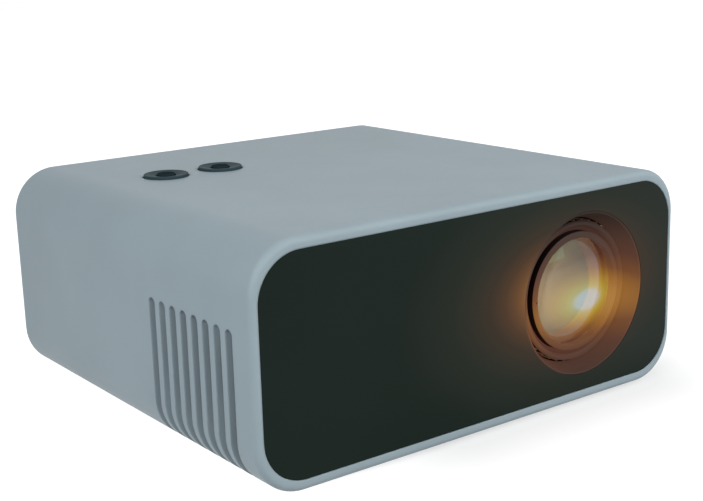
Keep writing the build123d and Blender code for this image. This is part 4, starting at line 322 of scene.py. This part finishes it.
# %% [markdown]
# ## The glow
#
# The lamp is on. Its light leaves a bright spot on the front glass, a yellow ring round it, a rosy
# glass further in and a warm edge on everything close by. A real lamp behind the lens would need far
# more samples than a picture has, so the surfaces shine by themselves. How much depends on the distance
# to one point beside the lens axis, measured in the object's own metres, so the light stays put from
# every side. The distance counts less sideways than upwards, because the patch of light is wider than
# it is high.

# %% Distance to a point near the lens axis
funnel_low, funnel_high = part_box("lens_funnel")
LENS_X = (funnel_low.x + funnel_high.x) / 2
LENS_Z = (funnel_low.z + funnel_high.z) / 2
FRONT_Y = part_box("main_shell")[0].y


def run_through(nodes, links, value, steps):
    """Sends a vector through operations, each given as its name and its further inputs."""
    for operation, *others in steps:
        step = add_node(nodes, "VectorMath", dict(enumerate(others, 1)), operation)
        links.new(value, step.inputs[0])
        value = step.outputs["Value" if operation == "LENGTH" else "Vector"]
    return value


def lens_distance(nodes, links, right, up, sideways):
    """Distance in millimetres to a point right and up of the lens axis; sideways weighs X."""
    shift = add_node(nodes, "Mapping", {
        "Location": (-(LENS_X / MM + right) * sideways, 0, -(LENS_Z / MM + up)),
        "Scale": (sideways / MM, 0, 1 / MM)})
    links.new(own_place(nodes), shift.inputs["Vector"])
    return run_through(nodes, links, shift.outputs["Vector"], [("LENGTH",)])


print("lens axis at", round(LENS_X / MM, 2), round(LENS_Z / MM, 2))

# %% [markdown]
# The backs of the pieces and the outsides of the tubes stay dark, or the light would show through the
# vent slots. Two tests say where a surface may shine. The first adds the direction away from the lens
# axis to the direction to the rear, and compares the sum with the way that the surface faces. The
# second serves the front glass: it keeps the glass's flat back out, because a second spot would show
# through the dome.

# %% Where a surface may shine
TURNED_AWAY = 0.75
FRONT_GLASS_RIM = 10.0
FRONT_GLASS_BACK = 14.0


def is_less(nodes, links, value, limit):
    test = add_node(nodes, "Math", {1: limit}, "LESS_THAN")
    links.new(value, test.inputs[0])
    return test.outputs["Value"]


def in_the_light(nodes, links):
    """1 on what faces the lens axis or the front, and 0 on the backs and outsides."""
    away = run_through(nodes, links, own_place(nodes), [
        ("MULTIPLY_ADD", (1, 0, 1), (-LENS_X, 0, -LENS_Z)), ("NORMALIZE",), ("ADD", (0, 1, 0))])
    facing = add_node(nodes, "VectorMath", operation="DOT_PRODUCT")
    links.new(away, facing.inputs[0])
    links.new(add_node(nodes, "TexCoord").outputs["Normal"], facing.inputs[1])
    return is_less(nodes, links, facing.outputs["Value"], TURNED_AWAY)


def on_the_dome(nodes, links):
    """1 on the dome of the front glass, and 0 on its flat back."""
    parts = add_node(nodes, "SeparateXYZ")
    links.new(own_place(nodes), parts.inputs["Vector"])
    halfway = (FRONT_GLASS_RIM + FRONT_GLASS_BACK) / 2
    return is_less(nodes, links, parts.outputs["Y"], FRONT_Y + halfway * MM)


print("the spot's limit lies", (FRONT_GLASS_RIM + FRONT_GLASS_BACK) / 2, "mm behind the shell's front")

# %% [markdown]
# The colour of the light changes on its way out, from near white over yellow and orange to a dim red.
# One plain falloff would miss that, so each piece has a ramp of colours over the distance.

# %% Colours over the distance
NO_LIGHT = (0.0, 0.0, 0.0)


def ramp_over(nodes, links, distance, stops):
    """Colours by distance: stops are (millimetres, colour), the last one being the reach."""
    reach = stops[-1][0]
    share = add_node(nodes, "MapRange", {"From Max": reach})
    links.new(distance, share.inputs["Value"])
    ramp = nodes.new("ShaderNodeValToRGB")
    while len(ramp.color_ramp.elements) < len(stops):
        ramp.color_ramp.elements.new(0.5)
    for element, (at, tone) in zip(ramp.color_ramp.elements, stops):
        element.position = at / reach
        element.color = tone + (1.0,)
    links.new(share.outputs["Result"], ramp.inputs["Fac"])
    return ramp.outputs["Color"]


def add_glow(finish, stops, right, up, sideways, where=in_the_light):
    """Lets a finish shine by its distance to a point near the lens axis."""
    nodes, links = finish.node_tree.nodes, finish.node_tree.links
    surface = nodes["Principled BSDF"]
    shine = ramp_over(nodes, links, lens_distance(nodes, links, right, up, sideways), stops)
    links.new(shine, surface.inputs["Emission Color"])
    links.new(where(nodes, links), surface.inputs["Emission Strength"])
    return finish


print("glow helpers ready")

# %% [markdown]
# The front panel is polished plastic, nearly black with a green cast. A mirror finish would show the
# white studio on it, so its reflection is kept weak and a little blurred. The lamp's light lies on it as
# a painted glow, a soft patch to the left of the opening.

# %% Polished front panel
PANEL_RAMP = [
    (15, (0.24, 0.097, 0.020)), (18.7, (0.141, 0.051, 0.011)), (20.7, (0.104, 0.037, 0.010)),
    (24, (0.063, 0.021, 0.006)), (29, (0.0315, 0.012, 0.005)), (35, (0.018, 0.0085, 0.004)),
    (42, (0.008, 0.005, 0.003)), (60, NO_LIGHT)]
PANEL_DARK = (0.0045, 0.0115, 0.0080, 1)
PANEL_LIGHT = (0.0065, 0.015, 0.0108, 1)
PANEL_EDGE = 0.4

panel_gloss_painted_glow, nodes, links, surface = new_finish("panel_gloss_painted_glow")
place = own_place(nodes)
waves = noise(nodes, links, place, scale=30.0, detail=1.0)
links.new(two_tone(nodes, links, waves, PANEL_DARK, PANEL_LIGHT), surface.inputs["Base Color"])
blur = spread(nodes, links, noise(nodes, links, place, scale=500.0), low=0.14, high=0.2)
links.new(blur, surface.inputs["Roughness"])
rounding = add_node(nodes, "Bevel", {"Radius": PANEL_EDGE * MM})
links.new(rounding.outputs["Normal"], surface.inputs["Normal"])
set_inputs(surface, {"Specular IOR Level": 0.08})
# Painted glow: the panel shines by itself in a warm patch beside the opening.
add_glow(panel_gloss_painted_glow, PANEL_RAMP, right=-10, up=4.5, sideways=0.6)
print("panel finish ready")

# %% [markdown]
# The rings and the funnel are black plastic and share one ramp of painted warm glow. The barrel behind
# them is duller and has a painted glow of its own. Each keeps its own grain.

# %% Rings, funnel and barrel in warm light
WARM_RAMP = [
    (7, (0.42, 0.20, 0.045)), (12, (0.29, 0.12, 0.022)), (16, (0.16, 0.060, 0.020)),
    (22, (0.094, 0.038, 0.022)), (30, (0.062, 0.030, 0.020)), (40, (0.026, 0.014, 0.010)),
    (60, NO_LIGHT)]
BARREL_RAMP = [
    (8, (0.24, 0.105, 0.022)), (13, (0.17, 0.062, 0.018)), (19, (0.10, 0.032, 0.018)),
    (30, (0.055, 0.020, 0.014)), (60, NO_LIGHT)]

ring_grain_painted_glow = moulded("ring_grain_painted_glow", colour(24, 22, 22), rough=0.5, grain=1400, gloss=0.08)
funnel_grain_painted_glow = moulded("funnel_grain_painted_glow", colour(22, 20, 20), rough=0.45, grain=1400, gloss=0.08)
barrel_black_painted_glow = moulded("barrel_black_painted_glow", colour(26, 20, 19), rough=0.6, grain=1100, gloss=0.1)
# Painted glow: the rings, the funnel and the barrel shine by themselves, warm near the lens axis.
add_glow(ring_grain_painted_glow, WARM_RAMP, right=6, up=-7, sideways=0.42)
add_glow(funnel_grain_painted_glow, WARM_RAMP, right=6, up=-7, sideways=0.42)
add_glow(barrel_black_painted_glow, BARREL_RAMP, right=6, up=-7, sideways=0.5)
print("warm finishes ready")

# %% [markdown]
# The front glass is coated, as photographic lenses are, and carries a painted highlight: a white spot
# with its yellow ring. The glass behind it is dull and carries a painted glow over the whole, brightest
# on the left.

# %% Front glass with its painted bright spot, and the painted glow of the glass behind
SPOT_RAMP = [
    (0, (0.22, 0.32, 0.34)), (4.2, (0.21, 0.30, 0.31)), (5.8, (0.19, 0.22, 0.06)),
    (8, (0.17, 0.16, 0.006)), (11, (0.13, 0.090, 0.002)), (15, (0.045, 0.024, 0.001)), (20, NO_LIGHT)]
ROSY_RAMP = [
    (0, (0.38, 0.27, 0.150)), (6, (0.31, 0.215, 0.130)), (12, (0.19, 0.118, 0.083)),
    (18, (0.105, 0.062, 0.050)), (24, (0.042, 0.022, 0.019)), (32, (0.028, 0.015, 0.013))]

painted_spot_glass = clear("painted_spot_glass", colour(250, 244, 240), film=420.0)
# Painted highlight: the dome shines by itself in a white spot with a yellow ring.
add_glow(painted_spot_glass, SPOT_RAMP, right=8, up=-5.5, sideways=0.52, where=on_the_dome)
painted_glow_glass, _, _, surface = new_finish("painted_glow_glass")
set_inputs(surface, {"Base Color": (0.06, 0.04, 0.035, 1), "Roughness": 0.6, "Specular IOR Level": 0.0})
# Painted glow: the second glass shines by itself, rosy and brightest on the left.
add_glow(painted_glow_glass, ROSY_RAMP, right=-15, up=-4, sideways=0.6)
print("lens glass ready")

# %% [markdown]
# ## Every solid gets its finish
#
# The solids keep their meshes. Each one only has the material in its slot exchanged. That could be
# written piece by piece, but a table is easier to read and to change: it says which finish belongs to
# which piece.

# %% Table of finishes
FINISH_OF = {
    "main_shell": shell_grain, "base_plate": base_grain, "front_panel": panel_gloss_painted_glow,
    "rear_panel": rear_grain, "rubber_feet": soft_rubber, "housing_screws": zinc_plate,
    "tripod_insert": turned_brass, "tilt_foot_pad": soft_rubber, "tilt_foot_screw": dull_black,
    "dust_filter": foam, "remote_receiver": receiver_red, "lens_funnel": funnel_grain_painted_glow,
    "lens_tube": barrel_black_painted_glow, "focus_ring": ring_grain_painted_glow, "lens_barrel": barrel_black_painted_glow,
    "lens_retainer": ring_grain_painted_glow, "front_lens": painted_spot_glass, "middle_lens": painted_glow_glass,
    "rear_lens": inner_glass, "engine_lower": dull_black, "engine_upper": dull_black,
    "field_lens_sheet": clear_sheet, "lcd_panel": dark_display, "collimator_sheet": clear_sheet,
    "heat_glass": inner_glass, "condenser_lens": inner_glass, "led_module": extruded_aluminium,
    "heat_sink": extruded_aluminium, "fan_frame": dull_black, "fan_impeller": dull_black,
    "drive_case": rolled_steel, "drive_cover": rolled_steel, "disc_tray": rear_grain,
    "tray_bezel": rear_grain, "eject_button": rear_grain, "tray_rail_left": zinc_plate,
    "tray_rail_right": zinc_plate, "spindle_motor": zinc_plate, "turntable": natural_grey,
    "pickup_sled": natural_grey, "guide_rods": zinc_plate, "lead_screw": zinc_plate,
    "sled_motor": zinc_plate, "key_holder": natural_grey, "key_board": board_green,
    "main_board": board_green, "video_port": port_metal, "data_port": port_metal,
    "audio_jacks": socket_black, "dc_inlet": socket_black, "speaker_frame": rolled_steel,
    "speaker_cone": paper_cone, "speaker_magnet": zinc_plate, "navigation_spider": natural_grey,
    "playback_spider": natural_grey, "navigation_ring": key_gloss, "playback_ring": key_gloss,
    "navigation_button": button_gloss, "playback_button": button_gloss,
}
for node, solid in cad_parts.items():
    solid.material_slots[0].material = FINISH_OF[node]
print("dressed:", len(FINISH_OF))

# %% [markdown]
# ## Turned pieces
#
# Lenses and rings are turned shapes. They could be put together from cylinders, but a lathe works from
# an outline, and so does this: a half outline is drawn as a few points and spun round the lens axis,
# with as many steps as a smooth rim needs. The mesh is then merged where the spin meets itself and on
# the axis, and its faces are turned outwards.

# %% Helpers for turned pieces
SHARP_ANGLE = math.radians(38)
MERGE_GAP = 0.002 * MM
ROUND_STEPS = 96


def spin_on_lens_axis(bm, outline, closed):
    """Spins (radius, depth) points in millimetres; depth counts from the shell's front."""
    verts = [bm.verts.new((LENS_X + r * MM, FRONT_Y + d * MM, LENS_Z)) for r, d in outline]
    pairs = list(zip(verts, verts[1:])) + ([(verts[-1], verts[0])] if closed else [])
    edges = [bm.edges.new(pair) for pair in pairs]
    bmesh.ops.spin(bm, geom=verts + edges, cent=(LENS_X, 0, LENS_Z), axis=(0, 1, 0), dvec=(0, 0, 0),
                   angle=math.tau, steps=ROUND_STEPS, use_merge=True, use_normal_flip=False,
                   use_duplicate=False)


def close_up(bm):
    """Merges points that lie together and turns all faces outwards."""
    bmesh.ops.remove_doubles(bm, verts=bm.verts, dist=MERGE_GAP)
    bmesh.ops.recalc_face_normals(bm, faces=bm.faces)


def finish_piece(name, bm, body, finish, replaced):
    """Makes an object that rides on a body and takes the place of a solid."""
    close_up(bm)
    mesh = bpy.data.meshes.new(name)
    bm.to_mesh(mesh)
    bm.free()
    mesh.shade_smooth()
    mesh.set_sharp_from_angle(angle=SHARP_ANGLE)
    mesh.materials.append(finish)
    piece = bpy.data.objects.new(name, mesh)
    bpy.context.scene.collection.objects.link(piece)
    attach(piece, body)
    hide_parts(replaced)
    print(name, "faces:", len(mesh.polygons))


print("turning helpers ready")

# %% [markdown]
# ## The lens glass
#
# The front glass is a dome on a flat back. Its outline is an arc that is sampled finely, because this
# is the piece that shows every facet. The second glass sits deeper in the barrel, is hollow in front
# and carries the glow.

# %% Front and second glass
CAP_POINTS = 20


def cap(radius, rim, bulge):
    """Points of a spherical cap from the axis to the rim; a positive bulge stands to the front."""
    ball = (radius ** 2 + bulge ** 2) / (2 * abs(bulge))
    points = []
    for i in range(CAP_POINTS + 1):
        r = radius * i / CAP_POINTS
        rise = math.copysign(math.sqrt(ball ** 2 - r ** 2) - (ball - abs(bulge)), bulge)
        points.append((r, rim - rise))
    return points


def lens_glass(name, replaced, finish, radius, rim, bulge, flat_back):
    """A glass with a domed or hollow front and a flat back, in millimetres."""
    bm = bmesh.new()
    spin_on_lens_axis(bm, cap(radius, rim, bulge) + [(radius, flat_back), (0.0, flat_back)], closed=False)
    finish_piece(name, bm, "lens_barrel", finish, replaced)


lens_glass("front_glass", "front_lens", painted_spot_glass, radius=26.4, rim=FRONT_GLASS_RIM, bulge=4.5,
           flat_back=FRONT_GLASS_BACK)
lens_glass("second_glass", "middle_lens", painted_glow_glass, radius=22.8, rim=24.0, bulge=-2.2, flat_back=31.0)

# %% [markdown]
# ## The ring round the glass
#
# The retaining ring is screwed in with a pin spanner, so its front face has two small pits that lie
# opposite each other. Holes could be cut with a second shape, but it is simpler to take one face of the
# spun ring on each side, inset it and press it in. All sizes are in millimetres. The outline's last
# point splits the wall of the bore into two bands.

# %% The ring's outline
RING_BORE = 25.2
RING_THREAD = 26.4
RING_EDGE = 28.0
RING_FRONT = 5.4
BORE_SPLIT = 6.0
RING_SEAT = 6.2
RING_BACK = 9.1
CHAMFER_WIDTH = 0.7
CHAMFER_DEPTH = 0.5

bm = bmesh.new()
spin_on_lens_axis(bm, [
    (RING_BORE, RING_FRONT), (RING_EDGE - CHAMFER_WIDTH, RING_FRONT),
    (RING_EDGE, RING_FRONT + CHAMFER_DEPTH), (RING_EDGE, RING_SEAT), (RING_THREAD, RING_SEAT),
    (RING_THREAD, RING_BACK), (RING_BORE, RING_BACK), (RING_BORE, BORE_SPLIT)], closed=True)
close_up(bm)
print("ring outline spun, faces:", len(bm.faces))

# %% The pits for the spanner
PIT_PLACE = 26.0
PIT_WALL = 0.35
PIT_TAPER = 0.02
PIT_DEPTH = 0.5
FACES_FRONT = -0.99

front_faces = [f for f in bm.faces if f.normal.y < FACES_FRONT]
pits = []
for side in (-1, 1):
    wanted = Vector((LENS_X + side * PIT_PLACE * MM, 0, LENS_Z))
    pits.append(min(front_faces, key=lambda f: (f.calc_center_median() - wanted).length))
bmesh.ops.inset_individual(bm, faces=pits, thickness=PIT_WALL * MM, depth=0)
bmesh.ops.inset_individual(bm, faces=pits, thickness=PIT_TAPER * MM, depth=-PIT_DEPTH * MM)
finish_piece("retaining_ring", bm, "lens_barrel", ring_grain_painted_glow, "lens_retainer")

# %% [markdown]
# ## The world
#
# A picture of a real studio could light the object, but plain white is all that surrounds it. The world
# is white to the eye and dimmer to the surfaces that it lights, so the pale shell keeps its tone on a
# white ground. Reflections and what is seen through glass count as the eye.

# %% World
WORLD_LIGHT = 0.4
WHITE = (1, 1, 1, 1)
COOL_WHITE = (0.93, 0.96, 1.0, 1)


def seen_directly(nodes, links):
    """1 for what the camera sees straight, in a reflection or through glass."""
    paths = add_node(nodes, "LightPath")
    total = paths.outputs["Is Camera Ray"]
    for kind in ("Is Glossy Ray", "Is Transmission Ray"):
        larger = add_node(nodes, "Math", operation="MAXIMUM")
        links.new(total, larger.inputs[0])
        links.new(paths.outputs[kind], larger.inputs[1])
        total = larger.outputs["Value"]
    return total


bpy.context.scene.view_settings.view_transform = "Standard"
world = bpy.data.worlds.new("studio")
bpy.context.scene.world = world
world.use_nodes = True
nodes, links = world.node_tree.nodes, world.node_tree.links
plain = nodes["Background"]
set_inputs(plain, {"Color": COOL_WHITE, "Strength": WORLD_LIGHT})
white = add_node(nodes, "Background", {"Color": WHITE, "Strength": 1.0})
backdrop = choose(nodes, links, seen_directly(nodes, links), plain.outputs["Background"],
                  white.outputs["Background"])
links.new(backdrop, nodes["World Output"].inputs["Surface"])
print("world ready")

# %% [markdown]
# ## The floor
#
# The floor is a thin sheet just below the feet. White paint alone would go grey where the lamps are
# weak. So the eye sees it take the shadow of the body only close by: its own white grows with the
# distance until it is pure white. Light on its way to the body passes through it a little dimmed, and
# from below it is quite clear, so the underside can be looked at too.

# %% The sheet
FLOOR_HALF = 4.0
FLOOR_DROP = 0.2 * MM

bm = bmesh.new()
bmesh.ops.create_grid(bm, x_segments=2, y_segments=2, size=FLOOR_HALF,
                      matrix=Matrix.Translation((0, 0, -FLOOR_DROP)))
floor_mesh = bpy.data.meshes.new("floor")
bm.to_mesh(floor_mesh)
bm.free()
floor = bpy.data.objects.new("floor", floor_mesh)
bpy.context.scene.collection.objects.link(floor)
print("floor reaches", round(max(v.co.x for v in floor_mesh.vertices), 2), "m to each side")

# %% The paint: a shaded white that grows with the distance from the body
FLOOR_TONE = (0.36, 0.36, 0.36, 1)
FLOOR_DIM = (0.8, 0.8, 0.8, 1)
# Painted shade: close to the body the floor's own white is lower, which darkens a patch round it on top of
# the real shadow; the patch is set off to the front right.
SHADOW_MIDDLE = (0.045, -0.035, 0)
SHADOW_HALF = (0.055, 0.06, 0)
FADE_START = 0.02
FADE_END = 0.085
WHITE_NEAR = 0.62
WHITE_FAR = 1.0

floor_paint, nodes, links, surface = new_finish("floor_paint")
nodes.remove(surface)
beside = run_through(nodes, links, own_place(nodes), [
    ("SUBTRACT", SHADOW_MIDDLE), ("ABSOLUTE",), ("SUBTRACT", SHADOW_HALF), ("MAXIMUM", (0, 0, 0)),
    ("LENGTH",)])
fade = add_node(nodes, "MapRange", {
    "From Min": FADE_START, "From Max": FADE_END, "To Min": WHITE_NEAR, "To Max": WHITE_FAR})
links.new(beside, fade.inputs["Value"])
lift = add_node(nodes, "Emission")
links.new(fade.outputs["Result"], lift.inputs["Strength"])
shown = add_node(nodes, "AddShader")
links.new(add_node(nodes, "BsdfDiffuse", {"Color": FLOOR_TONE}).outputs["BSDF"], shown.inputs[0])
links.new(lift.outputs["Emission"], shown.inputs[1])
print("white grows from", WHITE_NEAR, "to", WHITE_FAR)

# %% The paint: clear from below, and nearly clear for the light
dimmed = add_node(nodes, "BsdfTransparent", {"Color": FLOOR_DIM}).outputs["BSDF"]
open_air = add_node(nodes, "BsdfTransparent").outputs["BSDF"]
from_above = choose(nodes, links, seen_directly(nodes, links), dimmed, shown.outputs["Shader"])
is_below = add_node(nodes, "NewGeometry").outputs["Backfacing"]
links.new(choose(nodes, links, is_below, from_above, open_air), nodes["Material Output"].inputs["Surface"])
floor_mesh.materials.append(floor_paint)
print("floor ready")

# %% [markdown]
# ## The lamps
#
# Three square softboxes light the object: one above the front right corner for the top, one further
# out and slightly warm for the front, and a small one on the left that keeps the side from going dull.

# %% Lamps
def softbox(name, place, aim, width, power, tone=(1, 1, 1)):
    """A square lamp that looks from its place at its aim, in metres and watts."""
    data = bpy.data.lights.new(name, "AREA")
    data.shape = "SQUARE"
    data.size = width
    data.energy = power
    data.color = tone
    light = bpy.data.objects.new(name, data)
    bpy.context.scene.collection.objects.link(light)
    light.location = place
    light.rotation_mode = "QUATERNION"
    light.rotation_quaternion = (Vector(place) - Vector(aim)).to_track_quat("Z", "Y")


softbox("overhead_softbox", place=(0.55, -0.8, 0.62), aim=(0, -0.05, 0.05), width=0.6, power=4.4)
softbox("front_softbox", place=(0.45, -1.3, 0.6), aim=(0.05, 0, 0.05), width=0.9, power=3.6,
        tone=(1.0, 0.97, 0.92))
softbox("side_softbox", place=(-0.7, -0.42, 0.34), aim=(-0.1, -0.05, 0.05), width=0.4, power=3.0)
print("lamps:", len(bpy.data.lights))
